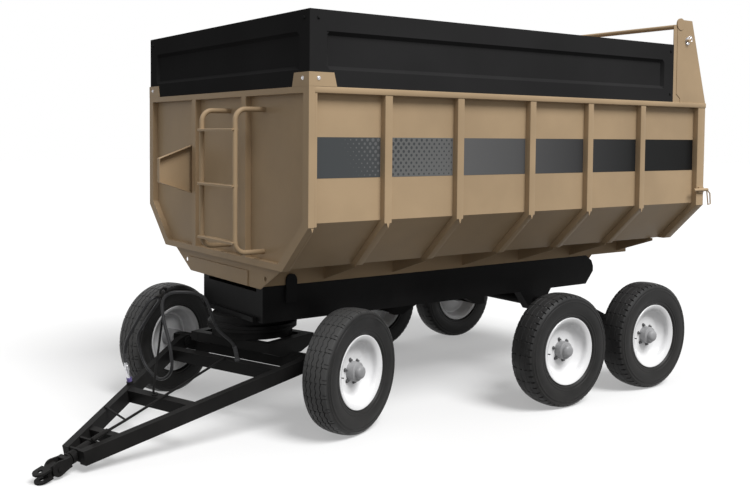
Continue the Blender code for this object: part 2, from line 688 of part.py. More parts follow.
def chassis_frame(paint, ground):
    inner = CHASSIS_OUT - RAIL_WIDTH
    top, foot = CHASSIS_TOP, CHASSIS_FOOT
    rail = [(CHASSIS_FRONT, foot), (CHASSIS_FRONT, top), (CHASSIS_REAR + RAIL_CHAMFER, top),
            (CHASSIS_REAR + 0.02, top - 0.045), (CHASSIS_REAR, top - 0.09), (CHASSIS_REAR, top - 0.13),
            (CHASSIS_REAR + RAIL_CHAMFER, foot)]
    halves = [prism(rail, "Y", inner, CHASSIS_OUT)]
    tab_mid = sum(TAB_X) / 2
    tab_half = (TAB_X[1] - TAB_X[0]) / 2
    tab = [(TAB_X[0], TAB_FOOT), (TAB_X[1], TAB_FOOT)]
    tab += arc((tab_mid, TAB_TOP - tab_half), tab_half, 0, 180, 6)
    tab_y = SUB_OUT + RUN
    halves.append(prism(tab, "Y", tab_y, tab_y + TAB_SHEET))
    halves.append(box((TAB_X[0], CHASSIS_OUT - 0.01, TAB_FOOT), (TAB_X[1], tab_y + 0.004, CHASSIS_TOP - 0.03)))
    trunnion_z = 2 * HINGE_Z - EYE_Z
    hang = [(CROSS_PLACES[2], CHASSIS_FOOT + 0.040), (CROSS_PLACES[2], CHASSIS_FOOT + 0.150),
            (CROSS_PLACES[3], CHASSIS_FOOT + 0.150), (CROSS_PLACES[3], CHASSIS_FOOT + 0.040)]
    hang += [(EYE_X - 0.050, trunnion_z - 0.045), (EYE_X + 0.050, trunnion_z - 0.045)]
    halves.append(prism(hang, "Y", TRUNNION_Y, TRUNNION_Y + TRUNNION_PLATE))
    lug_low, lug_high = HINGE_LUG_Y
    halves.append(rod(HINGE_PIN_R, (HINGE_X, lug_low - 0.030, HINGE_Z), (HINGE_X, inner + 0.020, HINGE_Z), 12))
    crosses = []
    for x in CROSS_PLACES:
        crosses.append(box((x - CROSS_WIDTH / 2, -inner - 0.010, foot + 0.020),
                           (x + CROSS_WIDTH / 2, inner + 0.010, foot + 0.020 + CROSS_HEIGHT)))
    cuts = both_sides([rod(TRUNNION_R + PIN_PLAY, (EYE_X, TRUNNION_Y - 0.02, trunnion_z),
                           (EYE_X, TRUNNION_Y + 0.04, trunnion_z), 12)])
    kingpin = rod(KINGPIN_R + 0.003, (KINGPIN_X, 0, foot - 0.1), (KINGPIN_X, 0, top), 12)
    bearer = box((KINGPIN_X - 0.190, -inner - 0.010, foot + GAP), (KINGPIN_X + 0.190, inner + 0.010, foot + 0.030))
    return fuse("chassis_frame", paint, ground, (0, 0, 0), both_sides(halves) + crosses + [bearer], cuts + [kingpin])


def turntable_upper(paint, ground):
    top = CHASSIS_FOOT - GAP
    foot = TURNTABLE_SPLIT + GAP
    bore = KINGPIN_R + 0.003
    ring = [(bore, foot), (TURNTABLE_R, foot), (TURNTABLE_R, foot + 0.020), (TURNTABLE_R - 0.030, foot + 0.026),
            (TURNTABLE_R - 0.030, top), (bore, top)]
    return fuse("turntable_upper", paint, ground, (0, 0, 0),
                [turned(ring, "Z", (KINGPIN_X, 0, 0), 24)], smooth=True)


def tandem_hanger(paint, ground):
    x = sum(REAR_AXLES) / 2
    top = CHASSIS_FOOT - GAP
    tube = rod(PIVOT_R, (x, -BEAM_Y[1] - 0.030, BEAM_PIVOT_Z), (x, BEAM_Y[1] + 0.030, BEAM_PIVOT_Z), 12)
    bracket = [(x - 0.170, top), (x - 0.060, BEAM_PIVOT_Z - 0.055), (x + 0.060, BEAM_PIVOT_Z - 0.055), (x + 0.170, top)]
    plate = prism(bracket, "Y", CHASSIS_OUT - RAIL_WIDTH, CHASSIS_OUT)
    stop = rod(PIVOT_R + 0.018, (x, BEAM_Y[0] - 0.030, BEAM_PIVOT_Z), (x, BEAM_Y[0] - 0.012, BEAM_PIVOT_Z), 12)
    return fuse("tandem_hanger", paint, ground, (0, 0, 0), [tube] + both_sides([plate, stop]))


def walking_beam(name, side, paint, ground):
    front, rear = REAR_AXLES
    x = (front + rear) / 2
    z = TYRE_R
    half = BEAM_DEPTH / 2
    outline = [(front + 0.060, z - 0.045), (front + 0.060, z + 0.045), (x + 0.075, BEAM_PIVOT_Z + half),
               (x - 0.075, BEAM_PIVOT_Z + half), (rear - 0.060, z + 0.045), (rear - 0.060, z - 0.045),
               (rear + 0.030, z - 0.045), (x - 0.060, BEAM_PIVOT_Z - half), (x + 0.060, BEAM_PIVOT_Z - half),
               (front - 0.030, z - 0.045)]
    y0, y1 = BEAM_Y
    solids = [prism(outline, "Y", y0, y1)]
    solids.append(rod(PIVOT_R + 0.022, (x, y0 - 0.010, BEAM_PIVOT_Z), (x, y1 + 0.015, BEAM_PIVOT_Z), 12))
    hub_face = REAR_TRACK / 2 - HUB_BACK - RUN
    for axle in REAR_AXLES:
        stub = STUB_SIDE / 2
        solids.append(box((axle - stub, y1 - 0.010, z - stub), (axle + stub, hub_face, z + stub)))
        solids.append(rod(SPINDLE_R, (axle, hub_face - 0.010, z), (axle, REAR_TRACK / 2 + 0.020, z), 12))
    bore = [rod(PIVOT_R + 0.0005, (x, y0 - 0.030, BEAM_PIVOT_Z), (x, y1 + 0.030, BEAM_PIVOT_Z), 12)]
    if side < 0:
        solids = [mirrored(solid) for solid in solids]
        bore = [mirrored(solid) for solid in bore]
    return fuse(name, paint, ground, (0, 0, 0), solids, bore)


# Wheels, drawn about the origin with +Y outboard

def tyre_profile():
    half = TYRE_WIDTH / 2
    side = [(BEAD_R + GAP, 0.066), (FLANGE_R + 0.002, 0.080), (0.268, half - 0.003), (0.322, half),
            (0.364, half - 0.014), (0.383, half - 0.038), (TYRE_R, 0.030)]
    lining = [(0.366, 0.058), (0.310, half - 0.014), (BEAD_R + GAP, 0.048)]
    outer = side + [(r, -y) for r, y in reversed(side)]
    inner = [(r, -y) for r, y in reversed(lining)] + lining
    return outer + inner


def wheel_profile():
    bead = BEAD_R
    bore = SPINDLE_R + SPINDLE_PLAY
    return [(0.0, 0.098), (0.034, 0.090), (0.052, 0.060), (0.055, 0.008), (0.140, 0.008),
            (0.184, 0.040), (0.195, 0.075), (FLANGE_R - 0.005, RIM_HALF), (FLANGE_R, RIM_HALF - 0.006),
            (bead, 0.068), (bead - 0.018, 0.030), (bead - 0.018, -0.030), (bead, -0.068), (FLANGE_R, -RIM_HALF),
            (bead - 0.026, -0.040), (0.178, 0.018), (0.145, -0.004),
            (0.060, -0.004), (0.060, -HUB_BACK), (bore, -HUB_BACK), (bore, 0.032), (0.0, 0.032)]


def wheel_pair(place, side, tyre_name, rim_name, parent, materials):
    """A tyre and its wheel on an empty at the hub's middle."""
    hub = empty(rim_name + "_axis", place, parent)
    rubber, rim_paint = materials
    tyre = turned(tyre_profile(), "Y", (0, 0, 0), WHEEL_SIDES)
    rim = turned(wheel_profile(), "Y", (0, 0, 0), WHEEL_SIDES)
    if side < 0:
        tyre, rim = mirrored(tyre), mirrored(rim)
    fuse(tyre_name, rubber, hub, (0, 0, 0), [tyre], smooth=True)
    fuse(rim_name, rim_paint, hub, (0, 0, 0), [rim], smooth=True)
    return hub


# Front bogie, in the frame of the kingpin

def front_axle_frame(paint, steer):
    axle_half = AXLE_SIDE / 2
    hub_face = FRONT_TRACK / 2 - HUB_BACK - RUN
    axle = box((-axle_half, -hub_face, TYRE_R - axle_half), (axle_half, hub_face, TYRE_R + axle_half))
    rail_low = BOGIE_RAIL_Y - BOGIE_RAIL_WIDTH / 2
    rail_high = BOGIE_RAIL_Y + BOGIE_RAIL_WIDTH / 2
    foot = TYRE_R + axle_half - 0.010
    side = [(-BOGIE_RAIL_HALF, BOGIE_RAIL_TOP - 0.060), (-BOGIE_RAIL_HALF, BOGIE_RAIL_TOP), (BOGIE_RAIL_HALF, BOGIE_RAIL_TOP),
            (BOGIE_RAIL_HALF, BOGIE_RAIL_TOP - 0.060), (0.100, foot), (-0.100, foot)]
    halves = [prism(side, "Y", rail_low, rail_high)]
    halves.append(rod(SPINDLE_R, (0, hub_face - 0.010, TYRE_R), (0, FRONT_TRACK / 2 + 0.020, TYRE_R), 12))
    eye_half = LEG_WIDTH / 2 + RUN
    for y in (LEG_HINGE_Y - eye_half - LUG_SHEET, LEG_HINGE_Y + eye_half):
        lug = [(axle_half - 0.010, DRAW_Z - 0.055), (axle_half - 0.010, DRAW_Z + 0.019), (DRAW_X, DRAW_Z + 0.035)]
        lug += arc((DRAW_X, DRAW_Z), 0.035, 60, -90, 5)
        halves.append(prism(lug, "Y", y, y + LUG_SHEET))
    halves.append(rod(DRAW_PIN_R, (DRAW_X, LEG_HINGE_Y - eye_half - LUG_SHEET - 0.008, DRAW_Z),
                      (DRAW_X, LEG_HINGE_Y + eye_half + LUG_SHEET + 0.008, DRAW_Z), 12))
    low = BOGIE_RAIL_TOP - 0.060
    ends = [box((x - 0.030, -rail_low - 0.010, low), (x + 0.030, rail_low + 0.010, BOGIE_RAIL_TOP))
            for x in (-BOGIE_RAIL_HALF + 0.032, BOGIE_RAIL_HALF - 0.032)]
    return fuse("front_axle_frame", paint, steer, (0, 0, 0), [axle] + both_sides(halves) + ends)


def turntable_lower(paint, steer):
    top = TURNTABLE_SPLIT - GAP
    foot = BOGIE_RAIL_TOP + GAP
    pin_top = CHASSIS_FOOT + 0.060
    profile = [(0.0, pin_top), (KINGPIN_R - 0.006, pin_top), (KINGPIN_R, pin_top - 0.006), (KINGPIN_R, top),
               (TURNTABLE_R, top), (TURNTABLE_R, top - 0.020), (TURNTABLE_R - 0.030, top - 0.026),
               (TURNTABLE_R - 0.030, foot), (0.0, foot)]
    return fuse("turntable_lower", paint, steer, (0, 0, 0), [turned(profile, "Z", (0, 0, 0), 24)], smooth=True)


# Drawbar, in the frame of its hinge

def leg_inner(x):
    start = LEG_HINGE_Y - LEG_WIDTH / 2
    end = LEG_NOSE_Y - LEG_WIDTH / 2
    return start + (end - start) * (x - LEG_START_X) / (LEG_NOSE_X - LEG_START_X)


def drawbar_frame(paint, draw):
    half = LEG_HEIGHT / 2
    inner, nose = leg_inner(LEG_START_X), leg_inner(LEG_NOSE_X)
    leg = [(0.0, inner), (LEG_START_X, inner), (LEG_NOSE_X, nose), (LEG_NOSE_X, nose + LEG_WIDTH),
           (LEG_START_X, inner + LEG_WIDTH), (0.0, inner + LEG_WIDTH)]
    halves = [prism(leg, "Z", -half, half)]
    halves.append(rod(LEG_EYE_R, (0, LEG_HINGE_Y - LEG_WIDTH / 2, 0), (0, LEG_HINGE_Y + LEG_WIDTH / 2, 0), 14))
    crosses = []
    for x, width, height in DRAW_CROSS:
        reach = leg_inner(x) + 0.012
        crosses.append(box((x - width / 2, -reach, -height / 2), (x + width / 2, reach, height / 2)))
    sleeve = rod(SLEEVE_R, (SLEEVE_X[0], 0, 0), (SLEEVE_X[1], 0, 0), 12)
    cuts = both_sides([rod(DRAW_PIN_R + PIN_PLAY, (0, LEG_HINGE_Y - 0.04, 0), (0, LEG_HINGE_Y + 0.04, 0), 12)])
    cuts.append(rod(SHANK_R + SHANK_PLAY, (SLEEVE_X[0] - 0.02, 0, 0), (SLEEVE_X[1] + 0.02, 0, 0), 12))
    return fuse("drawbar_frame", paint, draw, (0, 0, 0), both_sides(halves) + crosses + [sleeve], cuts)


def tow_fork(paint, fork, origin):
    shank = rod(SHANK_R, (SLEEVE_X[0] - 0.010, 0, 0), (FORK_PIN_X - 0.070, 0, 0), 12)
    collar = rod(SLEEVE_R, (SLEEVE_X[1] + RUN, 0, 0), (SLEEVE_X[1] + RUN + 0.014, 0, 0), 12)
    yoke = box((FORK_PIN_X - 0.080, -CHEEK_Y[1], -0.030), (FORK_PIN_X - 0.050, CHEEK_Y[1], 0.030))
    cheek = [(FORK_PIN_X - 0.060, 0.030)] + arc((FORK_PIN_X, 0), CHEEK_R, 100, -100, 10) + [(FORK_PIN_X - 0.060, -0.030)]
    cheeks = both_sides([prism(cheek, "Y", CHEEK_Y[0], CHEEK_Y[1])])
    pin = rod(FORK_PIN_R, (FORK_PIN_X, -CHEEK_Y[1] - 0.008, 0), (FORK_PIN_X, CHEEK_Y[1] + 0.008, 0), 12)
    return fuse("tow_fork", paint, fork, origin, [yoke, shank, collar] + cheeks + [pin])


def tow_clevis(paint, clevis, origin):
    low, high = CLEVIS_PLATES
    heel_half = CHEEK_Y[0] - RUN
    heel = rod(high, (FORK_PIN_X, -heel_half, 0), (FORK_PIN_X, heel_half, 0), 14)
    start = FORK_PIN_X + CHEEK_R + RUN
    web = box((FORK_PIN_X, -heel_half, -high), (start + 0.018, heel_half, high))
    turn = math.degrees(math.acos(TIP_FLAT / CLEVIS_HALF))
    outline = [(start, -CLEVIS_HALF), (CLEVIS_HOLE_X, -CLEVIS_HALF)]
    outline += arc((CLEVIS_HOLE_X, 0), CLEVIS_HALF, -72, -90 + turn, 3)
    outline += arc((CLEVIS_HOLE_X, 0), CLEVIS_HALF, 90 - turn, 72, 3)
    outline += [(CLEVIS_HOLE_X, CLEVIS_HALF), (start, CLEVIS_HALF)]
    plates = [prism(outline, "Z", low, high), prism(outline, "Z", -high, -low)]
    bore = rod(FORK_PIN_R + PIN_PLAY, (FORK_PIN_X, -0.05, 0), (FORK_PIN_X, 0.05, 0), 12)
    hole = rod(CLEVIS_HOLE_R, (CLEVIS_HOLE_X, 0, -0.05), (CLEVIS_HOLE_X, 0, 0.05), 12)
    return fuse("tow_clevis", paint, clevis, origin, [heel, web] + plates, [bore, hole])


def drawbar_pitch():
    """Nose-down angle that lays the clevis's lower front edge on the ground."""
    tip_x = CLEVIS_HOLE_X + math.sqrt(CLEVIS_HALF ** 2 - TIP_FLAT ** 2)
    reach = math.hypot(tip_x, CLEVIS_PLATES[1])
    return math.asin(DRAW_Z / reach) - math.atan2(CLEVIS_PLATES[1], tip_x)


def smooth_route(knots, spacing):
    """Points at even steps of arc along a Catmull-Rom curve through the knots."""
    knots = [Vector(knot) for knot in knots]
    ends = [2 * knots[0] - knots[1]] + knots + [2 * knots[-1] - knots[-2]]
    dense = []
    for before, start, end, after in zip(ends, ends[1:], ends[2:], ends[3:]):
        for i in range(24):
            t = i / 24
            dense.append(0.5 * ((2 * start) + (end - before) * t + (2 * before - 5 * start + 4 * end - after) * t ** 2
                                + (3 * start - before - 3 * end + after) * t ** 3))
    dense.append(knots[-1])
    total = sum((b - a).length for a, b in zip(dense, dense[1:]))
    count = round(total / spacing)
    points, walked, target = [dense[0]], 0.0, total / count
    for a, b in zip(dense, dense[1:]):
        step = (b - a).length
        while walked + step >= target - 1e-9 and len(points) < count:
            points.append(a.lerp(b, (target - walked) / step))
            target += total / count
        walked += step
    return points + [dense[-1]]


def hose_fittings(metal, black, rubber, draw):
    """Hook stand, gland, hose and the coupler parked on the far leg."""
    foot_x, foot_y = STAND_FOOT
    foot_z = LEG_HEIGHT / 2 - 0.0025 + GAP
    top_x, top_y, top_z = STAND_TOP
    base = rod(0.020, (foot_x, foot_y, foot_z), (foot_x, foot_y, foot_z + 0.008), 12)
    bend = [(foot_x, foot_y, foot_z + 0.004), (foot_x, foot_y, foot_z + 0.040), (top_x, top_y, top_z),
            (top_x - 0.006, top_y, top_z + 0.020), (top_x + 0.010, top_y, top_z + 0.034),
            (top_x + 0.034, top_y, top_z + 0.030), (top_x + 0.040, top_y, top_z + 0.008)]
    fuse("hose_stand", black, draw, (0, 0, 0), [base, pipe(bend, STAND_R, 8)], smooth=True)

    rear_x, rear_width, rear_height = DRAW_CROSS[0]
    gland_x, gland_y = rear_x, GLAND_Y
    gland_z = rear_height / 2 + GAP
    gland = [(0.0, 0.0), (0.020, 0.0), (0.020, 0.012), (0.013, 0.014), (0.013, 0.040), (0.0, 0.040)]
    fuse("hose_gland", metal, draw, (0, 0, 0), [turned(gland[::-1], "Z", (gland_x, gland_y, gland_z), 12)], smooth=True)

    leg_x = 0.700
    leg_y = -(leg_inner(leg_x) + LEG_WIDTH / 2)
    park_z = LEG_HEIGHT / 2 + GAP
    coupler = [(0.0, 0.0), (0.013, 0.0), (0.016, 0.010), (0.016, 0.045), (0.011, 0.052), (0.011, 0.095),
               (0.014, 0.098), (0.014, 0.150), (0.0, 0.150)]
    fuse("hose_coupler", metal, draw, (0, 0, 0), [turned(coupler[::-1], "Z", (leg_x, leg_y, park_z), 12)], smooth=True)

    hook = Vector((top_x + 0.018, top_y, top_z))
    from_gland = Vector((gland_x, gland_y, gland_z + 0.040 + GAP))
    to_coupler = Vector((leg_x, leg_y, park_z + 0.150 + GAP))
    straight = Vector((0, 0, HOSE_STRAIGHT))
    turns = [hook + Vector(step) for step in HOSE_TURNS]
    knots = [from_gland + straight] + turns + [to_coupler + straight]
    route = [from_gland] + smooth_route(knots, HOSE_STEP) + [to_coupler]
    curve = bpy.data.curves.new("hydraulic_hose", "CURVE")
    curve.dimensions = "3D"
    curve.bevel_depth = HOSE_R
    curve.bevel_resolution = 2
    curve.use_fill_caps = True
    spline = curve.splines.new("POLY")
    spline.points.add(len(route) - 1)
    for knot, point in zip(spline.points, route):
        knot.co = (*point, 1.0)
    hose = bpy.data.objects.new("hydraulic_hose", curve)
    bpy.context.collection.objects.link(hose)
    curve.materials.append(rubber)
    hose.parent = draw


def lock_rod(paint, draw):
    z = LEG_HEIGHT / 2 - 0.0025 + LOCK_ROD_R + GAP
    start, joint, end = (0.200, 0.040, z), (1.060, 0.055, z + 0.004), (1.300, 0.060, z + 0.012)
    bar = rod(LOCK_ROD_R, start, end, 8)
    direction = (Vector(end) - Vector(start)).normalized()
    grip = rod(GRIP_R, Vector(end) - direction * 0.105, Vector(end) + direction * 0.012, 10)
    strut = rod(0.006, joint, (0.985, -leg_inner(0.985) - 0.030, LEG_HEIGHT / 2 + 0.006 + GAP), 8)
    return fuse("lock_rod", paint, draw, (0, 0, 0), [bar, grip, strut], smooth=True)


# Tipping cylinder

def tipping_cylinder(paint, steel, swing, origin):
    x, z = EYE_X, 2 * HINGE_Z - EYE_Z
    foot = z - BARREL_DOWN
    wall = TUBE_WALL
    profile = [(0.0, foot), (BARREL_R - 0.010, foot), (BARREL_R, foot + 0.010), (BARREL_R, z + BARREL_UP),
               (BARREL_R - wall, z + BARREL_UP), (BARREL_R - wall, foot + 0.015), (0.0, foot + 0.015)]
    barrel = turned(profile[::-1], "Z", (x, 0, 0), 20)
    pins = both_sides([rod(TRUNNION_R, (x, BARREL_R - wall / 2, z), (x, TRUNNION_Y + TRUNNION_PLATE + 0.012, z), 12)])
    fuse("cylinder_barrel", paint, swing, origin, [barrel] + pins, smooth=True)
    axis = swing
    for number in range(1, STAGES + 1):
        radius = BARREL_R - number * (wall + STAGE_PLAY)
        stage_foot = foot + 0.015 + number * 0.008
        stage_top = z + BARREL_UP + number * STAGE_STEP
        slide = empty("cylinder_slide_%d" % number, (0, 0, 0), axis)
        axis = slide
        if number < STAGES:
            profile = [(0.0, stage_foot), (radius, stage_foot), (radius, stage_top), (radius - wall, stage_top),
                       (radius - wall, stage_foot + 0.006), (0.0, stage_foot + 0.006)]
            fuse("cylinder_stage_%d" % number, steel, slide, origin, [turned(profile[::-1], "Z", (x, 0, 0), 20)], smooth=True)
        else:
            shaft = rod(radius, (x, 0, stage_foot), (x, 0, EYE_Z - 0.055), 20)
            neck = box((x - 0.020, -EYE_HALF, EYE_Z - 0.065), (x + 0.020, EYE_HALF, EYE_Z))
            eye = rod(EYE_R, (x, -EYE_HALF, EYE_Z), (x, EYE_HALF, EYE_Z), 14)
            fuse("cylinder_rod", steel, slide, origin, [shaft, neck, eye])


def build():
    for item in list(bpy.data.objects):
        bpy.data.objects.remove(item)
    tan = colour_material("tan_paint", (0.30, 0.225, 0.155), 0.45)
    black = colour_material("black_paint", (0.012, 0.012, 0.013), 0.4)
    rubber = colour_material("tyre_rubber", (0.028, 0.028, 0.029), 0.8)
    white = colour_material("white_rim", (0.80, 0.80, 0.80), 0.35)
    hose_rubber = colour_material("hose_rubber", (0.020, 0.020, 0.022), 0.6)
    zinc = colour_material("zinc_plate", (0.62, 0.62, 0.64), 0.35, 1.0)
    chrome = colour_material("ground_steel", (0.70, 0.70, 0.70), 0.2, 1.0)

    ground = empty("ground_frame", (0, 0, 0))
    tip_at = Vector((HINGE_X, 0, HINGE_Z))
    tip = empty("tub_tip_axis", tip_at, ground)
    gate_at = Vector((GATE_PIN_X, 0, GATE_PIN_Z))
    gate = empty("tailgate_axis", gate_at - tip_at, tip)
    swing_at = Vector((EYE_X, 0, 2 * HINGE_Z - EYE_Z))
    swing = empty("cylinder_swing_axis", swing_at, ground)
    steer = empty("steer_axis", (KINGPIN_X, 0, 0), ground, (0, 0, STEER_REST))
    draw = empty("drawbar_axis", (DRAW_X, 0, DRAW_Z), steer, (0, drawbar_pitch(), 0))
    fork_at = Vector((SLEEVE_X[1], 0, 0))
    fork = empty("fork_swivel_axis", fork_at, draw)
    clevis_at = Vector((FORK_PIN_X, 0, 0))
    clevis = empty("clevis_axis", clevis_at - fork_at, fork)

    tub_shell(tan, tip, tip_at)
    side_frame("side_frame_left", 1, tan, tip, tip_at)
    side_frame("side_frame_right", -1, tan, tip, tip_at)
    front_frame(tan, tip, tip_at)
    boards(black, tip, tip_at)
    rear_arch(tan, tip, tip_at)
    tailgate(tan, gate, gate_at)
    front_ladder(tan, tip, tip_at)
    holder_bracket(tan, tip, tip_at)
    tub_subframe(tan, tip, tip_at)
    latch("latch_left", 1, tan, tip, tip_at)
    latch("latch_right", -1, tan, tip, tip_at)

    chassis_frame(black, ground)
    turntable_upper(black, ground)
    tandem_hanger(black, ground)
    walking_beam("walking_beam_left", 1, black, ground)
    walking_beam("walking_beam_right", -1, black, ground)
    tipping_cylinder(black, chrome, swing, swing_at)

    front_axle_frame(black, steer)
    turntable_lower(black, steer)
    drawbar_frame(black, draw)
    lock_rod(black, draw)
    hose_fittings(zinc, black, hose_rubber, draw)
    tow_fork(black, fork, fork_at)
    tow_clevis(black, clevis, clevis_at)

    finishes = (rubber, white)
    for side, word in ((1, "left"), (-1, "right")):
        wheel_pair((0, side * FRONT_TRACK / 2, TYRE_R), side, "tyre_front_" + word, "wheel_front_" + word, steer, finishes)
        for number, x in enumerate(REAR_AXLES, start=1):
            place = (x, side * REAR_TRACK / 2, TYRE_R)
            wheel_pair(place, side, "tyre_rear_%s_%d" % (word, number), "wheel_rear_%s_%d" % (word, number),
                       ground, finishes)

    # The trailer's middle, from the clevis's tip to the latch loops, goes over the origin
    bpy.context.view_layer.update()
    ends = [bpy.data.objects[name] for name in ("tow_clevis", "latch_left")]
    reach = [(end.matrix_world @ corner.co).x for end in ends for corner in end.data.vertices]
    ground.location.x = -(min(reach) + max(reach)) / 2


build()
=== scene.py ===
"""Looks of a farm tipping trailer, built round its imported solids.

Metres, +X forward, +Y left, +Z up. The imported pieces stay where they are. Each
class below holds one sub-assembly's sizes and makes its finer pieces, each of
which stands for a packed one or is fastened to it.
"""

import json
import logging
import math
from dataclasses import dataclass, field, replace
from enum import Enum

import bmesh
import bpy
import numpy as np
from mathutils import Matrix, Vector

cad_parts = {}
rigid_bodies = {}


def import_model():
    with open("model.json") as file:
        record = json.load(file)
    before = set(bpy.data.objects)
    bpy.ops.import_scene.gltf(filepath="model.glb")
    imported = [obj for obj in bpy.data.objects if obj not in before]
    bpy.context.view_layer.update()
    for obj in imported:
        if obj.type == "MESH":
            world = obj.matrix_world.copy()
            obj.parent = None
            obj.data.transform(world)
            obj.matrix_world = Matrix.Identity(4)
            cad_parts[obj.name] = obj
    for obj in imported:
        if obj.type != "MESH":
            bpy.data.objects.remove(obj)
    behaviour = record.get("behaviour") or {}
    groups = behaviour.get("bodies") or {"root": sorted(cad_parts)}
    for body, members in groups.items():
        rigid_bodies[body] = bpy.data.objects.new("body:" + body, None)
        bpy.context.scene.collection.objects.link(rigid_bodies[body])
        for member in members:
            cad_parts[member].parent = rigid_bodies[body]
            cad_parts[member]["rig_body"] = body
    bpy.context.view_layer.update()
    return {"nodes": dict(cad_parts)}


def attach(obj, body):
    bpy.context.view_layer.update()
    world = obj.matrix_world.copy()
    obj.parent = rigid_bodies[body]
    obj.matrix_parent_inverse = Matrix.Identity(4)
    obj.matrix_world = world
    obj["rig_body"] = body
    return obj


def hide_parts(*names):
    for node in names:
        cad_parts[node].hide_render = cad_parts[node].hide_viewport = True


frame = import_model()
LOG = logging.getLogger("trailer")

Nodes = bpy.types.Nodes
Links = bpy.types.NodeLinks
Socket = bpy.types.NodeSocket

TAU = 2.0 * math.pi
OFFSET = 1.173003           # the tub's front face, ahead of the origin
TUB_LENGTH = 3.66
TUB_HALF = 1.10
RIM_TOP = 2.125
KINK_Z = 1.335
BOARD_TOP = 2.553
SIDE_SHEET_Y = 1.0547
RIB_PLACES = (0.154, 0.309, 0.483, 0.639, 0.795)    # shares of the tub's length
RIB_HALF = 0.0275
REAR_POST_X = -3.570
FRONT_POST = (-0.0603, -0.0403)     # its rear and front face
TYRE_R = 0.390
FRONT_HALF_TRACK = 0.810
REAR_HALF_TRACK = 1.070
REAR_AXLES = (-2.090, -3.000)       # behind the tub's front face
CORE_R = 0.0005             # within it the end of a turned body is filled in


# Numbers and shapes


@dataclass(frozen=True)
class Placement:
    """A sub-assembly's own axes: turned left by turn, then nose down by pitch."""

    origin: tuple[float, float, float]
    turn: float = 0.0
    pitch: float = 0.0

    def axes(self) -> np.ndarray:
        """The sub-assembly's own axes.

        Returns:
            Rows for forward, left and up, in the trailer's frame.
        """
        c, s = math.cos(self.turn), math.sin(self.turn)
        cp, sp = math.cos(self.pitch), math.sin(self.pitch)
        return np.array([[c * cp, s * cp, -sp], [-s, c, 0.0], [c * sp, s * sp, cp]])

    def out(self, points: np.ndarray) -> np.ndarray:
        """Carries points out of the sub-assembly.

        Args:
            points: Points in its own axes.

        Returns:
            The same points in the trailer's frame.
        """
        return np.asarray(points, float) @ self.axes() + np.array(self.origin)


STEER = math.radians(19.5)
TUB = Placement((OFFSET, 0.0, 0.0))
BOGIE = Placement((OFFSET - 0.265, 0.0, 0.0), STEER)
DRAW_PITCH = math.radians(13.437680)
DRAW = Placement(tuple(BOGIE.out(np.array([0.110, 0.0, 0.415]))), STEER, DRAW_PITCH)


@dataclass
class Shape:
    """Vertices, quads and wider faces of one or more closed surfaces."""

    points: np.ndarray
    quads: np.ndarray
    caps: list[list[int]] = field(default_factory=list)

    def moved(self, placement: Placement) -> "Shape":
        """Carries the surfaces out of a sub-assembly.

        Args:
            placement: Where the sub-assembly is.

        Returns:
            The same surfaces in the trailer's frame.
        """
        return Shape(placement.out(self.points), self.quads, self.caps)

    def shifted(self, step: tuple[float, float, float]) -> "Shape":
        """Moves the surfaces.

        Args:
            step: How far along X, Y and Z.

        Returns:
            The same surfaces, a step away.
        """
        return Shape(self.points + np.array(step), self.quads, self.caps)

    def flipped_y(self) -> "Shape":
        """Mirrors the surfaces from one side to the other.

        Returns:
            The same surfaces, their faces turned back out.
        """
        return Shape(self.points * [1, -1, 1], self.quads[:, ::-1], [cap[::-1] for cap in self.caps])

    def traded(self, order: list[int]) -> "Shape":
        """The same surfaces with two axes traded, their faces turned back out.

        Args:
            order: Which old axis each new one takes, such as [0, 2, 1].

        Returns:
            What stood along the one axis, now along the other.
        """
        return Shape(self.points[:, order], self.quads[:, ::-1], [cap[::-1] for cap in self.caps])


def joined(shapes: list[Shape]) -> Shape:
    """Joins shapes, their face numbers carried on.

    Args:
        shapes: At least one shape.

    Returns:
        One shape with all their points, quads and caps.
    """
    starts = np.cumsum([0] + [len(shape.points) for shape in shapes[:-1]])
    quads = [shape.quads + start for shape, start in zip(shapes, starts)]
    caps = [(np.array(cap) + start).tolist() for shape, start in zip(shapes, starts) for cap in shape.caps]
    return Shape(np.concatenate([shape.points for shape in shapes]), np.concatenate(quads), caps)


def grid(points: np.ndarray, wrap_rows: bool = False, wrap_columns: bool = False,
         capped: bool = False) -> Shape:
    """Surface through a grid of points.

    Args:
        points: Rows by columns by three.
        wrap_rows: Whether the last row meets the first.
        wrap_columns: Whether the last column meets the first.
        capped: Whether the first and last rows are filled in.

    Returns:
        The cells as quads, with the end rows as faces where asked.
    """
    rows, columns = points.shape[:2]
    r, c = np.meshgrid(np.arange(rows if wrap_rows else rows - 1),
                       np.arange(columns if wrap_columns else columns - 1), indexing="ij")
    below, beside = (r + 1) % rows, (c + 1) % columns
    quads = np.stack([r * columns + c, below * columns + c, below * columns + beside,
                      r * columns + beside], -1)
    caps = []
    if capped:
        last = (rows - 1) * columns
        caps = [list(range(columns))[::-1], list(range(last, last + columns))]
    return Shape(points.reshape(-1, 3), quads.reshape(-1, 4), caps)


def smooth_line(knots: np.ndarray, steps: int) -> np.ndarray:
    """Catmull-Rom curve: each span is the cubic whose ends and end slopes come
    from its two knots and their neighbours.

    Args:
        knots: Points in any number of dimensions.
        steps: Points in each span.

    Returns:
        The curve's points, both end knots among them.
    """
    knots = np.asarray(knots, float)
    ends = np.concatenate([[2 * knots[0] - knots[1]], knots, [2 * knots[-1] - knots[-2]]])
    a, b, c, d = (ends[i:len(ends) - 3 + i, None, :] for i in range(4))
    t = (np.arange(steps) / steps)[None, :, None]
    spans = 0.5 * (2 * b + (c - a) * t + (2 * a - 5 * b + 4 * c - d) * t ** 2
                   + (3 * b - a - 3 * c + d) * t ** 3)
    return np.concatenate([spans.reshape(-1, knots.shape[1]), knots[-1:]])


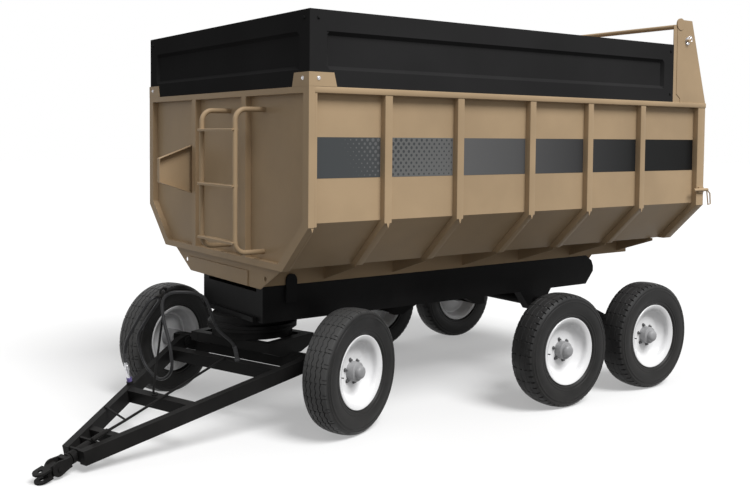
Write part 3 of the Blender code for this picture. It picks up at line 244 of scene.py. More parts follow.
def even_line(points: np.ndarray, spacing: float) -> np.ndarray:
    """The same line with points at even distances along it.

    Args:
        points: The line's points.
        spacing: About how far apart the new ones are.

    Returns:
        The new points, both ends among them.
    """
    walked = np.concatenate([[0.0], np.cumsum(np.linalg.norm(np.diff(points, axis=0), axis=1))])
    even = np.linspace(0.0, walked[-1], max(2, round(walked[-1] / spacing) + 1))
    return np.stack([np.interp(even, walked, points[:, i]) for i in range(points.shape[1])], -1)


def tube(path: np.ndarray, radius: float | np.ndarray, sides: int = 16) -> Shape:
    """Circle carried along a path. Its plane is square to the path, and its
    start direction is turned as little as possible from each point to the next.

    Args:
        path: Points of the centreline.
        radius: One radius, or one for each point.
        sides: Points round the circle.

    Returns:
        A closed round bar.
    """
    path = np.asarray(path, float)
    along = np.gradient(path, axis=0)
    along /= np.linalg.norm(along, axis=1)[:, None]
    side = np.cross(along[0], [0.31, 0.17, 0.94])
    sideways = []
    for direction in along:
        side = side - direction * (side @ direction)
        side = side / np.linalg.norm(side)
        sideways.append(side)
    across = np.array(sideways)
    upright = np.cross(along, across)
    turn = np.arange(sides) * TAU / sides
    reach = np.broadcast_to(radius, len(path))[:, None, None]
    ring = (np.cos(turn)[None, :, None] * across[:, None, :]
            + np.sin(turn)[None, :, None] * upright[:, None, :])
    return grid(path[:, None, :] + reach * ring, wrap_columns=True, capped=True)


def revolved(profile: np.ndarray, sides: int = 48, closed: bool = True) -> Shape:
    """Profile of radius and height spun round the left axis: x is the radius
    times the cosine, z the radius times the sine, y the height.

    Args:
        profile: Points of radius and height, listed once.
        sides: Steps round the circle.
        closed: Whether the last point meets the first, as in a ring.

    Returns:
        A ring, or a body whose two ends lie close to the axis and are filled in.
    """
    turn = (np.arange(sides) + 0.5) * TAU / sides
    radius, height = np.asarray(profile, float).T
    points = np.stack([radius[:, None] * np.cos(turn),
                       np.broadcast_to(height[:, None], (len(radius), sides)),
                       radius[:, None] * np.sin(turn)], -1)
    return grid(points, wrap_rows=closed, wrap_columns=True, capped=not closed)


def bar(low: tuple[float, float, float], high: tuple[float, float, float]) -> Shape:
    """Block between two corners, as a ring of four corners carried along X.

    Args:
        low: Its rear, right, lower corner.
        high: Its front, left, upper corner.

    Returns:
        The closed block.
    """
    (x0, y0, z0), (x1, y1, z1) = low, high
    ring = np.array([[y0, z0], [y1, z0], [y1, z1], [y0, z1]])
    ends = np.array([x0, x1])
    points = np.concatenate([np.broadcast_to(ends[:, None, None], (2, 4, 1)),
                             np.broadcast_to(ring, (2, 4, 2))], -1)
    return grid(points, wrap_columns=True, capped=True)


def plate(outline: np.ndarray, low: float, high: float) -> Shape:
    """A flat plate from an outline of X and Z, between two distances in Y.

    Args:
        outline: Its corners in order, an (n, 2) array.
        low: Its face towards -Y.
        high: Its face towards +Y.

    Returns:
        The closed plate.
    """
    corners = np.asarray(outline, float)
    sides = np.broadcast_to(np.array([low, high])[:, None], (2, len(corners)))
    points = np.stack([np.broadcast_to(corners[:, 0], sides.shape), sides,
                       np.broadcast_to(corners[:, 1], sides.shape)], -1)
    return grid(points, wrap_columns=True, capped=True)


def copies(shape: Shape, places: np.ndarray) -> Shape:
    """The shape set down at each place.

    Args:
        shape: What is repeated.
        places: One step for each copy.

    Returns:
        All the copies as one shape.
    """
    count = len(shape.points)
    points = (shape.points[None] + np.asarray(places, float)[:, None]).reshape(-1, 3)
    starts = np.arange(len(places)) * count
    quads = (shape.quads[None] + starts[:, None, None]).reshape(-1, 4)
    caps = [(np.array(cap) + start).tolist() for start in starts for cap in shape.caps]
    return Shape(points, quads, caps)


def hexagon_bolt(reach: float, head: float) -> Shape:
    """Bolt head on its washer, standing out along +Y from y = 0.

    Args:
        reach: Radius to the head's corners.
        head: Height of the head.

    Returns:
        The washer and a head whose top edge is turned down.
    """
    sheet = reach * 0.22
    washer = revolved([(CORE_R, 0.0), (reach * 1.35, 0.0), (reach * 1.35, sheet), (CORE_R, sheet)],
                      16, closed=False)
    top = sheet + head
    block = revolved([(CORE_R, reach * 0.20), (reach, reach * 0.20), (reach, top - head * 0.18),
                      (reach * 0.84, top), (CORE_R, top)], 6, closed=False)
    return joined([washer, block])


# Finishes


class Grain(Enum):
    """How a finish's colour varies over its surface."""

    PAINT = "paint"
    RUBBER = "rubber"
    METAL = "metal"
    FADE = "fade"


DUST = (0.19, 0.165, 0.13)
DUST_TOP = 0.9              # height by which the road's dust has thinned out
CROWN_SHARE = (0.362, 0.380)        # radii between which a tyre's wall becomes its crown
FADE_STOPS = (              # shares of the tub's length from its front, and the colour there
    (0.0, (0.062, 0.067, 0.070)), (0.15, (0.068, 0.072, 0.074)), (0.156, (0.135, 0.136, 0.133)),
    (0.31, (0.130, 0.131, 0.130)), (0.316, (0.112, 0.112, 0.113)), (0.48, (0.080, 0.080, 0.081)),
    (0.63, (0.042, 0.042, 0.043)), (0.80, (0.014, 0.0145, 0.0145)), (0.96, (0.008, 0.008, 0.008)))


@dataclass(frozen=True)
class Finish:
    """One finish: its shader's plain numbers and the pattern laid over them.

    A tyre's finish also has the colour of its crown and the axle that the
    crown runs round.
    """

    name: str
    slot: str
    colour: tuple[float, float, float]
    roughness: float
    metallic: float = 0.0
    specular: float = 0.35
    grain: Grain = Grain.PAINT
    mottle: float = 0.10
    scale: float = 3.0
    bump: float = 0.02
    coat: float = 0.0
    dust: float = 0.0
    crown: tuple[float, float, float] | None = None
    axle: Placement | None = None

    def material(self) -> bpy.types.Material:
        """The finish's material, made once.

        Returns:
            A material whose patterns read Object coordinates only.
        """
        found = bpy.data.materials.get("finish_" + self.name)
        if found:
            return found
        made = bpy.data.materials.new("finish_" + self.name)
        made.use_nodes = True
        nodes, links = made.node_tree.nodes, made.node_tree.links
        shader = nodes["Principled BSDF"]
        shader.inputs["Metallic"].default_value = self.metallic
        shader.inputs["Specular IOR Level"].default_value = self.specular
        shader.inputs["Coat Weight"].default_value = self.coat
        shader.inputs["Coat Roughness"].default_value = 0.12
        place = nodes.new("ShaderNodeTexCoord").outputs["Object"]
        broad = self.noise(nodes, links, place, self.scale, 5.0)
        fine = self.noise(nodes, links, place, self.scale * 40.0, 3.0)
        colour = self.blend(nodes, links, broad, [c * (1 - self.mottle) for c in self.colour],
                            [min(1.0, c * (1 + self.mottle)) for c in self.colour], 0.35, 0.65)
        if self.grain is Grain.FADE:
            colour = self.fade(nodes, links, place)
        if self.crown and self.axle:
            colour = self.mixed(nodes, links, self.from_axle(nodes, links, place), colour, self.crown)
        if self.dust > 0.0:
            colour = self.dusted(nodes, links, place, broad, colour)
        links.new(colour, shader.inputs["Base Color"])
        spread = {Grain.PAINT: 0.06, Grain.RUBBER: 0.12, Grain.METAL: 0.10, Grain.FADE: 0.04}[self.grain]
        rough = nodes.new("ShaderNodeMapRange")
        rough.inputs["From Min"].default_value = 0.3
        rough.inputs["From Max"].default_value = 0.7
        rough.inputs["To Min"].default_value = max(0.05, self.roughness - spread)
        rough.inputs["To Max"].default_value = min(1.0, self.roughness + spread)
        links.new(broad, rough.inputs["Value"])
        links.new(rough.outputs["Result"], shader.inputs["Roughness"])
        relief = nodes.new("ShaderNodeBump")
        relief.inputs["Strength"].default_value = self.bump
        relief.inputs["Distance"].default_value = 0.002
        links.new(fine, relief.inputs["Height"])
        links.new(relief.outputs["Normal"], shader.inputs["Normal"])
        return made

    @staticmethod
    def noise(nodes: Nodes, links: Links, place: Socket, scale: float, detail: float) -> Socket:
        """A noise's factor, read at a place.

        Args:
            nodes: The tree's nodes.
            links: The tree's links.
            place: Output that gives the place.
            scale: How many lumps to a metre.
            detail: How many finer layers.

        Returns:
            The output with the factor.
        """
        cloud = nodes.new("ShaderNodeTexNoise")
        cloud.inputs["Scale"].default_value = scale
        cloud.inputs["Detail"].default_value = detail
        links.new(place, cloud.inputs["Vector"])
        return cloud.outputs["Fac"]

    @staticmethod
    def blend(nodes: Nodes, links: Links, factor: Socket, low: list[float], high: list[float],
              start: float, end: float) -> Socket:
        """A ramp between two colours.

        Args:
            nodes: The tree's nodes.
            links: The tree's links.
            factor: Output that runs along the ramp.
            low: Colour up to the start.
            high: Colour from the end on.
            start: Factor at which the ramp starts.
            end: Factor at which it ends.

        Returns:
            The output with the colour.
        """
        ramp = nodes.new("ShaderNodeValToRGB")
        ramp.color_ramp.elements[0].position = start
        ramp.color_ramp.elements[0].color = (*low, 1.0)
        ramp.color_ramp.elements[1].position = end
        ramp.color_ramp.elements[1].color = (*high, 1.0)
        links.new(factor, ramp.inputs["Fac"])
        return ramp.outputs["Color"]

    @staticmethod
    def mixed(nodes: Nodes, links: Links, factor: Socket, first: Socket,
              second: Socket | tuple[float, float, float]) -> Socket:
        """Two colours mixed.

        Args:
            nodes: The tree's nodes.
            links: The tree's links.
            factor: Output with the second colour's share.
            first: Output with a colour.
            second: Output with a colour, or the colour itself.

        Returns:
            The output with the mix.
        """
        mix = nodes.new("ShaderNodeMix")
        mix.data_type = "RGBA"
        links.new(factor, mix.inputs[0])
        links.new(first, mix.inputs[6])
        if isinstance(second, tuple):
            mix.inputs[7].default_value = (*second, 1.0)
        else:
            links.new(second, mix.inputs[7])
        return mix.outputs[2]

    def dusted(self, nodes: Nodes, links: Links, place: Socket, cloud: Socket,
               colour: Socket) -> Socket:
        """Road dust that thins with height: a share that falls from the ground
        up, broken up by the cloud, lays a dry brown over the colour.

        Args:
            nodes: The tree's nodes.
            links: The tree's links.
            place: Output that gives the place.
            cloud: Output with a noise.
            colour: Output with the clean colour.

        Returns:
            The output with the dusty colour.
        """
        split = nodes.new("ShaderNodeSeparateXYZ")
        links.new(place, split.inputs[0])
        height = nodes.new("ShaderNodeMapRange")
        height.inputs["From Min"].default_value = 0.0
        height.inputs["From Max"].default_value = DUST_TOP
        height.inputs["To Min"].default_value = self.dust
        height.inputs["To Max"].default_value = self.dust * 0.15
        links.new(split.outputs["Z"], height.inputs["Value"])
        share = nodes.new("ShaderNodeMath")
        share.operation = "MULTIPLY"
        links.new(height.outputs["Result"], share.inputs[0])
        links.new(cloud, share.inputs[1])
        return self.mixed(nodes, links, share.outputs[0], colour, DUST)

    def from_axle(self, nodes: Nodes, links: Links, place: Socket) -> Socket:
        """The crown's share: the place is carried back to the axle, its part along
        the axle is dropped, and what is left is the radius.

        Args:
            nodes: The tree's nodes.
            links: The tree's links.
            place: Output that gives the place.

        Returns:
            An output of nothing on a tyre's walls and one on its crown.
        """
        carried = nodes.new("ShaderNodeMapping")
        carried.vector_type = "TEXTURE"
        carried.inputs["Location"].default_value = self.axle.origin
        carried.inputs["Rotation"].default_value = (0.0, 0.0, self.axle.turn)
        links.new(place, carried.inputs["Vector"])
        flat = nodes.new("ShaderNodeVectorMath")
        flat.operation = "MULTIPLY"
        flat.inputs[1].default_value = (1.0, 0.0, 1.0)
        links.new(carried.outputs["Vector"], flat.inputs[0])
        reach = nodes.new("ShaderNodeVectorMath")
        reach.operation = "LENGTH"
        links.new(flat.outputs["Vector"], reach.inputs[0])
        share = nodes.new("ShaderNodeMapRange")
        share.inputs["From Min"].default_value = CROWN_SHARE[0]
        share.inputs["From Max"].default_value = CROWN_SHARE[1]
        links.new(reach.outputs["Value"], share.inputs["Value"])
        return share.outputs["Result"]

    def fade(self, nodes: Nodes, links: Links, place: Socket) -> Socket:
        """The decal band's grey along X: slate in the first bay, lighter in the
        second, then down to near black at the rear.

        Args:
            nodes: The tree's nodes.
            links: The tree's links.
            place: Output that gives the place.

        Returns:
            The output with the colour.
        """
        split = nodes.new("ShaderNodeSeparateXYZ")
        links.new(place, split.inputs[0])
        along = nodes.new("ShaderNodeMapRange")
        along.inputs["From Min"].default_value = OFFSET
        along.inputs["From Max"].default_value = OFFSET - TUB_LENGTH
        links.new(split.outputs["X"], along.inputs["Value"])
        ramp = nodes.new("ShaderNodeValToRGB")
        points = ramp.color_ramp.elements
        points[0].position, points[0].color = FADE_STOPS[0][0], (*FADE_STOPS[0][1], 1.0)
        points[1].position, points[1].color = FADE_STOPS[-1][0], (*FADE_STOPS[-1][1], 1.0)
        for position, colour in FADE_STOPS[1:-1]:
            points.new(position).color = (*colour, 1.0)
        links.new(along.outputs["Result"], ramp.inputs["Fac"])
        return ramp.outputs["Color"]


TAN = Finish("tan_paint", "tan_paint", (0.392, 0.283, 0.173), 0.42, specular=0.08, mottle=0.07,
             scale=2.2, bump=0.05)
BLACK = Finish("chassis_black", "black_paint", (0.0095, 0.0095, 0.0098), 0.48, specular=0.05,
               mottle=0.20, scale=4.0, bump=0.04, dust=0.04)
BOARD = Finish("board_black", "black_paint", (0.0245, 0.0242, 0.0245), 0.50, specular=0.0,
               mottle=0.08, scale=1.6, bump=0.03)
RUBBER = Finish("tyre_black", "tyre_rubber", (0.0120, 0.0120, 0.0122), 0.44, specular=0.16,
                grain=Grain.RUBBER, mottle=0.25, scale=9.0, bump=0.14, dust=0.05)
WHITE = Finish("wheel_white", "white_rim", (0.76, 0.76, 0.765), 0.30, specular=0.40, mottle=0.03,
               scale=5.0, coat=0.3, dust=0.05)
HUB = Finish("hub_grey", "zinc_plate", (0.27, 0.27, 0.275), 0.46, specular=0.40,
             grain=Grain.METAL, mottle=0.12, scale=14.0, bump=0.10)
HOSE = Finish("hose_black", "hose_rubber", (0.0140, 0.0140, 0.0150), 0.48, specular=0.25,
              grain=Grain.RUBBER, mottle=0.15, scale=30.0, bump=0.10)
ZINC = Finish("zinc", "zinc_plate", (0.62, 0.62, 0.64), 0.30, metallic=1.0, specular=0.5,
              grain=Grain.METAL, mottle=0.08, scale=40.0, bump=0.03)
DARK_ZINC = Finish("dark_zinc", "zinc_plate", (0.045, 0.045, 0.047), 0.42, specular=0.25,
                   grain=Grain.METAL, scale=40.0, bump=0.03)
NUT = Finish("wheel_nut", "zinc_plate", (0.095, 0.095, 0.097), 0.42, specular=0.30,
             grain=Grain.METAL, scale=40.0, bump=0.03)
VIOLET = Finish("violet_cap", "hose_rubber", (0.115, 0.090, 0.240), 0.35, specular=0.4,
                mottle=0.05, scale=20.0)
STEEL = Finish("ground_steel", "ground_steel", (0.62, 0.62, 0.63), 0.16, metallic=1.0,
               specular=0.5, grain=Grain.METAL, mottle=0.04, scale=12.0)
DECAL = Finish("decal_band", "black_paint", (0.08, 0.08, 0.08), 0.38, specular=0.05,
               grain=Grain.FADE, bump=0.0)
DOT_LIGHT = Finish("decal_dots_light", "black_paint", (0.125, 0.127, 0.129), 0.38, specular=0.10,
                   mottle=0.02, bump=0.0)
DOT_DARK = Finish("decal_dots_dark", "black_paint", (0.054, 0.057, 0.060), 0.38, specular=0.10,
                  mottle=0.02, bump=0.0)


# Pieces


def add_piece(name: str, shape: Shape, finish: Finish, body: str, replaces: tuple[str, ...] = (),
              smooth: float = 32.0) -> bpy.types.Object:
    """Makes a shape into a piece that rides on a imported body.

    Args:
        name: The piece's name.
        shape: Its surfaces, in the trailer's frame.
        finish: What it is finished in.
        body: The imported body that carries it.
        replaces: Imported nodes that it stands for.
        smooth: Degrees past which an edge stays sharp.

    Returns:
        The new object, at the origin, its faces pointing out.
    """
    mesh = bpy.data.meshes.new(name)
    mesh.from_pydata(shape.points.tolist(), [], shape.quads.tolist() + shape.caps)
    solid = bmesh.new()
    solid.from_mesh(mesh)
    bmesh.ops.recalc_face_normals(solid, faces=solid.faces)
    solid.to_mesh(mesh)
    solid.free()
    mesh.shade_smooth()
    mesh.set_sharp_from_angle(angle=math.radians(smooth))
    mesh.materials.append(finish.material())
    piece = bpy.data.objects.new(name, mesh)
    bpy.context.scene.collection.objects.link(piece)
    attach(piece, body)
    if replaces:
        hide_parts(*replaces)
    LOG.info("%s: %d faces on %s", name, len(mesh.polygons), body)
    return piece


SAME_POINT = 2e-5           # corners of loose triangles this close are one
FLAT = math.radians(0.6)            # between faces of one plane
SHARP = math.radians(34)            # past it an edge is shaded sharp
BROKEN = math.radians(40)           # past it an edge is rounded


@dataclass(frozen=True)
class WeldedSteel:
    """A packed steel piece with its bare edges broken, as cut and welded plate has."""

    node: str
    finish: Finish
    edge: float = 0.0015

    def build(self) -> bpy.types.Object:
        """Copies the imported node, joins its loose triangles and rounds its edges.

        Returns:
            The piece that stands for the node.
        """
        packed = frame["nodes"][self.node]
        mesh = packed.data.copy()
        mesh.name = self.node + "_steel"
        solid = bmesh.new()
        solid.from_mesh(mesh)
        bmesh.ops.remove_doubles(solid, verts=solid.verts, dist=SAME_POINT)
        bmesh.ops.dissolve_limit(solid, angle_limit=FLAT, verts=solid.verts, edges=solid.edges)
        solid.to_mesh(mesh)
        solid.free()
        if "custom_normal" in mesh.attributes:
            mesh.attributes.remove(mesh.attributes["custom_normal"])
        mesh.shade_smooth()
        mesh.set_sharp_from_angle(angle=SHARP)
        mesh.materials.clear()
        mesh.materials.append(self.finish.material())
        piece = bpy.data.objects.new(self.node + "_steel", mesh)
        bpy.context.scene.collection.objects.link(piece)
        rounding = piece.modifiers.new("broken_edges", "BEVEL")
        rounding.width = self.edge
        rounding.segments = 2
        rounding.limit_method = "ANGLE"
        rounding.angle_limit = BROKEN
        rounding.harden_normals = True
        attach(piece, packed["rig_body"])
        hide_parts(self.node)
        LOG.info("%s: rounded copy", piece.name)
        return piece


# Hose


@dataclass
class Hose:
    """The hydraulic hose over its hook, with its ferrules and quick coupler."""

    radius: float = 0.010
    straight: float = 0.040
    hook: tuple[float, float, float] = (0.518, -0.060, 0.600)
    gland: tuple[float, float, float] = (0.185, 0.135, 0.0803)
    coupler: tuple[float, float, float] = (0.700, -0.307487, 0.0428)
    coupler_top: float = 0.1503
    turns: tuple[tuple[float, float, float], ...] = (
        (-0.317, 0.187, -0.425), (-0.247, 0.150, -0.300), (-0.190, 0.145, -0.080),
        (-0.060, 0.080, 0.000), (0.010, 0.014, -0.018), (0.060, 0.030, -0.120),
        (0.110, 0.100, -0.300), (0.130, 0.090, -0.440), (0.120, -0.040, -0.515),
        (0.100, -0.170, -0.450), (0.072, -0.225, -0.295), (0.036, -0.185, -0.205),
        (-0.004, -0.128, -0.122), (-0.021, -0.080, -0.066), (-0.004, -0.056, -0.030),
        (0.034, -0.050, -0.016), (0.072, -0.063, -0.032), (0.097, -0.098, -0.083),
        (0.132, -0.165, -0.180), (0.166, -0.222, -0.275))

    def route(self) -> np.ndarray:
        """Centreline: straight out of the gland, a smooth curve through the
        turns, which are places about the hook, and straight down into the
        coupler.

        Returns:
            Points about 12 mm apart, in the drawbar's axes.
        """
        start = np.array(self.gland) + [0, 0, 0.0003]
        end = np.array(self.coupler) + [0, 0, self.coupler_top]
        lead = [0, 0, self.straight]
        knots = np.concatenate([[start + lead], np.array(self.hook) + np.array(self.turns), [end + lead]])
        return even_line(np.concatenate([[start], smooth_line(knots, 24), [end]]), 0.012)

    def build(self) -> None:
        route = DRAW.out(self.route())
        hose = add_piece("hose", tube(route, self.radius, 14), HOSE, "drawbar", ("hydraulic_hose",))
        ferrules = [self.ferrule(route[:6]), self.ferrule(route[-6:][::-1])]
        crimps = add_piece("hose_ferrules", joined(ferrules), DARK_ZINC, "drawbar")
        body = add_piece("coupler_body", self.coupler_body().moved(DRAW), ZINC, "drawbar",
                         ("hose_coupler",))
        cap = add_piece("coupler_cap", self.coupler_cap().moved(DRAW), VIOLET, "drawbar")
        add_piece("coupler_rest", self.coupler_rest().moved(DRAW), BLACK, "drawbar")

    def ferrule(self, path: np.ndarray) -> Shape:
        """Crimped sleeve over a hose end: its radius steps in at two crimps.

        Args:
            path: The hose's first points from that end.

        Returns:
            The closed sleeve.
        """
        fine = even_line(path, 0.002)
        t = np.linspace(0.0, 1.0, len(fine))
        crimp = 0.0010 * (np.abs(t - 0.35) < 0.06) + 0.0010 * (np.abs(t - 0.65) < 0.06)
        ends = 0.0012 * np.clip((np.abs(t - 0.5) - 0.46) / 0.04, 0, 1)
        return tube(fine, self.radius + 0.0034 - crimp - ends, 24)

    def coupler_body(self) -> Shape:
        """Quick coupler: turned body with a knurled sleeve, standing on its rest.

        Returns:
            The piece in the drawbar's axes.
        """
        profile = [(CORE_R, 0.004), (0.012, 0.004), (0.0125, 0.006), (0.0125, 0.050), (0.011, 0.053),
                   (0.011, 0.092), (0.0138, 0.096), (0.0142, 0.100), (0.0142, 0.124), (0.0138, 0.128),
                   (0.0115, 0.130), (0.0115, 0.149), (CORE_R, 0.149)]
        return revolved(profile, 24, closed=False).traded([0, 2, 1]).shifted(self.coupler)

    def coupler_rest(self) -> Shape:
        """Cup welded to the leg, in which the coupler is parked.

        Returns:
            The piece in the drawbar's axes.
        """
        profile = [(CORE_R, -0.0003), (0.0210, -0.0003), (0.0210, 0.0180), (0.0190, 0.0200),
                   (0.0172, 0.0200), (0.0172, 0.0038), (CORE_R, 0.0038)]
        return revolved(profile, 32, closed=False).traded([0, 2, 1]).shifted(self.coupler)

    def coupler_cap(self) -> Shape:
        """Dust cap: a ring with turned edges round the coupler's foot.

        Returns:
            The piece in the drawbar's axes.
        """
        profile = [(0.0128, 0.008), (0.0160, 0.008), (0.0166, 0.010), (0.0166, 0.042), (0.0158, 0.046),
                   (0.0128, 0.046)]
        return revolved(profile, 32).traded([0, 2, 1]).shifted(self.coupler)


# Wheels


class Tread(Enum):
    """What is cut into a tyre's crown."""

    RIBBED = "ribbed"
    WORN = "worn"


@dataclass(frozen=True)
class TreadCut:
    """Grooves round a crown and cuts across it, in metres; the cuts come once
    in every pitch, or in every second one where skip is two."""

    grooves: tuple[float, ...]
    groove_half: float
    groove_depth: float
    wave: float
    pitches: int
    sipe_depth: float
    shoulder_depth: float
    skip: int


CROWN_HALF = 0.084          # half of the crown's width
CROWN_DROP = 0.0105         # how far its edge lies below its middle

# Crown colour of each tread, paler than the walls; the ribbed front tyres' crown is twice as pale as the
# worn ones', a painted light on their tread
CROWNS_WITH_PAINTED_LIGHT = {
    Tread.RIBBED: (0.052, 0.052, 0.052),
    Tread.WORN: (0.026, 0.026, 0.0265),
}

CUTS = {
    Tread.RIBBED: TreadCut((-0.052, -0.018, 0.018, 0.052), 0.0034, 0.0080, 0.0044, 52, 0.0075, 0.0070, 2),
    Tread.WORN: TreadCut((-0.044, 0.0, 0.044), 0.0026, 0.0014, 0.0030, 26, 0.0050, 0.0090, 1),
}


@dataclass
class Wheel:
    """One tyre on its disc wheel, with its hub, nuts and valve."""

    place: tuple[float, float, float]
    turn: float
    side: int
    tread: Tread
    tyre_node: str
    wheel_node: str
    body: str

    def carried(self, shape: Shape) -> Shape:
        """Puts a shape on this wheel's side and in its place.

        Args:
            shape: A shape about the hub, as on the left.

        Returns:
            The same in the trailer's frame.
        """
        if self.side < 0:
            shape = shape.flipped_y()
        return shape.moved(Placement(self.place, self.turn))

    def tyre(self) -> Shape:
        """The section is a closed line of radius and width; the crown's part of
        it sinks at the grooves, which wander sideways as a triangle wave of the
        angle, and at short cuts beside them and at the shoulders.

        Returns:
            A closed ring about the hub.
        """
        cut = CUTS[self.tread]
        flank = smooth_line(np.array([
            (0.2036, 0.066), (0.2150, 0.0745), (0.2338, 0.0800), (0.2440, 0.0905), (0.2480, 0.0935),
            (0.2530, 0.0925), (0.2620, 0.0948), (0.2640, 0.0968), (0.2670, 0.0972), (0.2690, 0.0962),
            (0.2850, 0.1000), (0.3150, 0.1018), (0.3380, 0.0996), (0.3400, 0.1010), (0.3440, 0.1004),
            (0.3460, 0.0980), (0.3560, 0.0962), (0.3600, 0.0975), (0.3700, 0.0905)]), 2)
        half = cut.groove_half
        steps = (-half - 0.012, -half - 0.0014, -half, -half + 0.0010, half - 0.0010, half,
                 half + 0.0014, half + 0.012)
        across = sorted({round(groove + step, 5) for groove in cut.grooves for step in steps}
                        | {sign * y for sign in (-1, 1) for y in (0.070, 0.078, CROWN_HALF)})
        crown_y = np.array(across[::-1])
        crown_r = TYRE_R - CROWN_DROP * np.abs(crown_y / CROWN_HALF) ** 2.4
        nearest = np.min(np.abs(crown_y[:, None] - np.array(cut.grooves)), axis=1)
        in_groove = nearest < half - 0.0005
        beside = (nearest > half - 0.0005) & (nearest < half + 0.002)
        shoulder = np.abs(crown_y) > 0.0695
        lining = np.array([(0.2036, -0.046), (0.3000, -0.0840), (0.3560, -0.0700), (0.3680, -0.0300),
                           (0.3680, 0.0300), (0.3560, 0.0700), (0.3000, 0.0840), (0.2036, 0.046)])
        radius = np.concatenate([flank[:, 0], crown_r, flank[::-1, 0], lining[:, 0]])
        width = np.concatenate([flank[:, 1], crown_y, -flank[::-1, 1], lining[:, 1]])
        pads = (len(flank), len(flank) + len(lining))
        groove = np.pad(in_groove.astype(float), pads)
        sipe = np.pad(beside.astype(float), pads)
        edge = np.pad(shoulder.astype(float), pads)
        waving = np.pad(np.clip((0.074 - np.abs(crown_y)) / 0.012, 0, 1), pads)
        within = np.array([0.0, 0.03, 0.05, 0.13, 0.15, 0.32, 0.50, 0.53, 0.55, 0.63, 0.65, 0.82])
        cut_rows = np.array([0, 0, 1, 1, 0, 0, 0, 0, 0, 0, 0, 0], float)
        edge_rows = np.array([0, 0, 1, 1, 0, 0, 0, 0, 1, 1, 0, 0], float)
        angle = ((np.arange(cut.pitches)[:, None] + within) * TAU / cut.pitches).ravel()
        sway = np.tile(cut.wave * (np.abs(within - 0.5) * 4 - 1), cut.pitches)
        cuts = np.arange(cut.pitches)[:, None] % cut.skip == 0
        sunk = (cut.groove_depth * groove[None, :]
                + cut.sipe_depth * sipe[None, :] * (cuts * cut_rows).reshape(-1, 1)
                + cut.shoulder_depth * edge[None, :] * (cuts * edge_rows).reshape(-1, 1))
        reach = radius[None, :] - sunk
        y = width[None, :] + sway[:, None] * waving[None, :]
        points = np.stack([reach * np.cos(angle)[:, None], y, reach * np.sin(angle)[:, None]], -1)
        return grid(points, wrap_rows=True, wrap_columns=True)

    @staticmethod
    def disc() -> Shape:
        """Pressed disc and rolled rim, one section spun round the axle.

        Returns:
            The piece about the hub.
        """
        front = smooth_line(np.array([
            (0.0600, 0.0090), (0.1080, 0.0088), (0.1300, 0.0074), (0.1400, 0.0082), (0.1520, 0.0135),
            (0.1700, 0.0250), (0.1800, 0.0340), (0.1860, 0.0440), (0.1905, 0.0600),
            (0.1960, 0.0715)]), 4)
        lip = np.array([
            (0.2050, 0.0775), (0.2150, 0.0825), (0.2250, 0.0866), (0.2290, 0.0870), (0.2318, 0.0848),
            (0.2320, 0.0805), (0.2300, 0.0778), (0.2240, 0.0755), (0.2145, 0.0725), (0.2033, 0.0670)])
        well = np.array([(0.1900, 0.0300), (0.1900, -0.0300)])
        back = np.array([
            (0.1900, -0.0560), (0.1820, -0.0200), (0.1790, 0.0120), (0.1680, 0.0160),
            (0.1480, 0.0030), (0.1300, -0.0010), (0.0600, -0.0010)])
        return revolved(np.concatenate([front, lip, well, lip[::-1] * [1, -1], back]), 96)

    @staticmethod
    def hub() -> Shape:
        """Cast hub: domed cap, flange under the nuts and drum behind the disc.

        Returns:
            The piece about the hub.
        """
        dome = smooth_line(np.array([(0.0006, 0.0980), (0.0160, 0.0970), (0.0300, 0.0930),
                                     (0.0390, 0.0850), (0.0425, 0.0740)]), 4)
        rest = np.array([
            (0.0432, 0.0640), (0.0470, 0.0620), (0.0565, 0.0605), (0.0600, 0.0575), (0.0615, 0.0500),
            (0.0620, 0.0200), (0.0630, 0.0130), (0.0630, 0.0092), (0.0598, 0.0091), (0.0598, -0.0960),
            (0.0560, -0.1000), (0.0312, -0.1000), (0.0312, 0.0320), (0.0006, 0.0320)])
        return revolved(np.concatenate([dome, rest]), 48, closed=False)

    @staticmethod
    def nuts() -> Shape:
        """Six wheel nuts on their studs.

        Returns:
            The piece about the hub.
        """
        stud = revolved([(CORE_R, 0.0), (0.0048, 0.0), (0.0048, 0.0190), (0.0040, 0.0200),
                         (CORE_R, 0.0200)], 12, closed=False)
        one = joined([hexagon_bolt(0.0095, 0.0090), stud]).shifted((0.0, 0.0090, 0.0))
        count, circle = 6, 0.0765
        turns = (np.arange(count) + 0.25) * TAU / count
        places = np.stack([circle * np.cos(turns), np.zeros(count), circle * np.sin(turns)], -1)
        return copies(one, places)

    @staticmethod
    def valve() -> Shape:
        """Valve stem out of the rim's well.

        Returns:
            The piece about the hub.
        """
        path = np.array([(0.1900, 0.0420, 0.0), (0.1860, 0.0520, 0.0), (0.1810, 0.0640, 0.0),
                         (0.1760, 0.0760, 0.0)])
        return tube(even_line(path, 0.004), 0.0036, 10)

    def build(self) -> None:
        """Makes this wheel's pieces."""
        rubber = replace(RUBBER, name="rubber_" + self.tyre_node, crown=CROWNS_WITH_PAINTED_LIGHT[self.tread],
                         axle=Placement(self.place, self.turn))
        pieces = ((self.tyre_node + "_tread", self.tyre(), rubber, (self.tyre_node,)),
                  (self.wheel_node + "_disc", self.disc(), WHITE, (self.wheel_node,)),
                  (self.wheel_node + "_hub", self.hub(), HUB, ()),
                  (self.wheel_node + "_nuts", self.nuts(), NUT, ()),
                  (self.wheel_node + "_valve", self.valve(), RUBBER, ()))
        for name, shape, finish, nodes in pieces:
            add_piece(name, self.carried(shape), finish, self.body, nodes)


# Tub


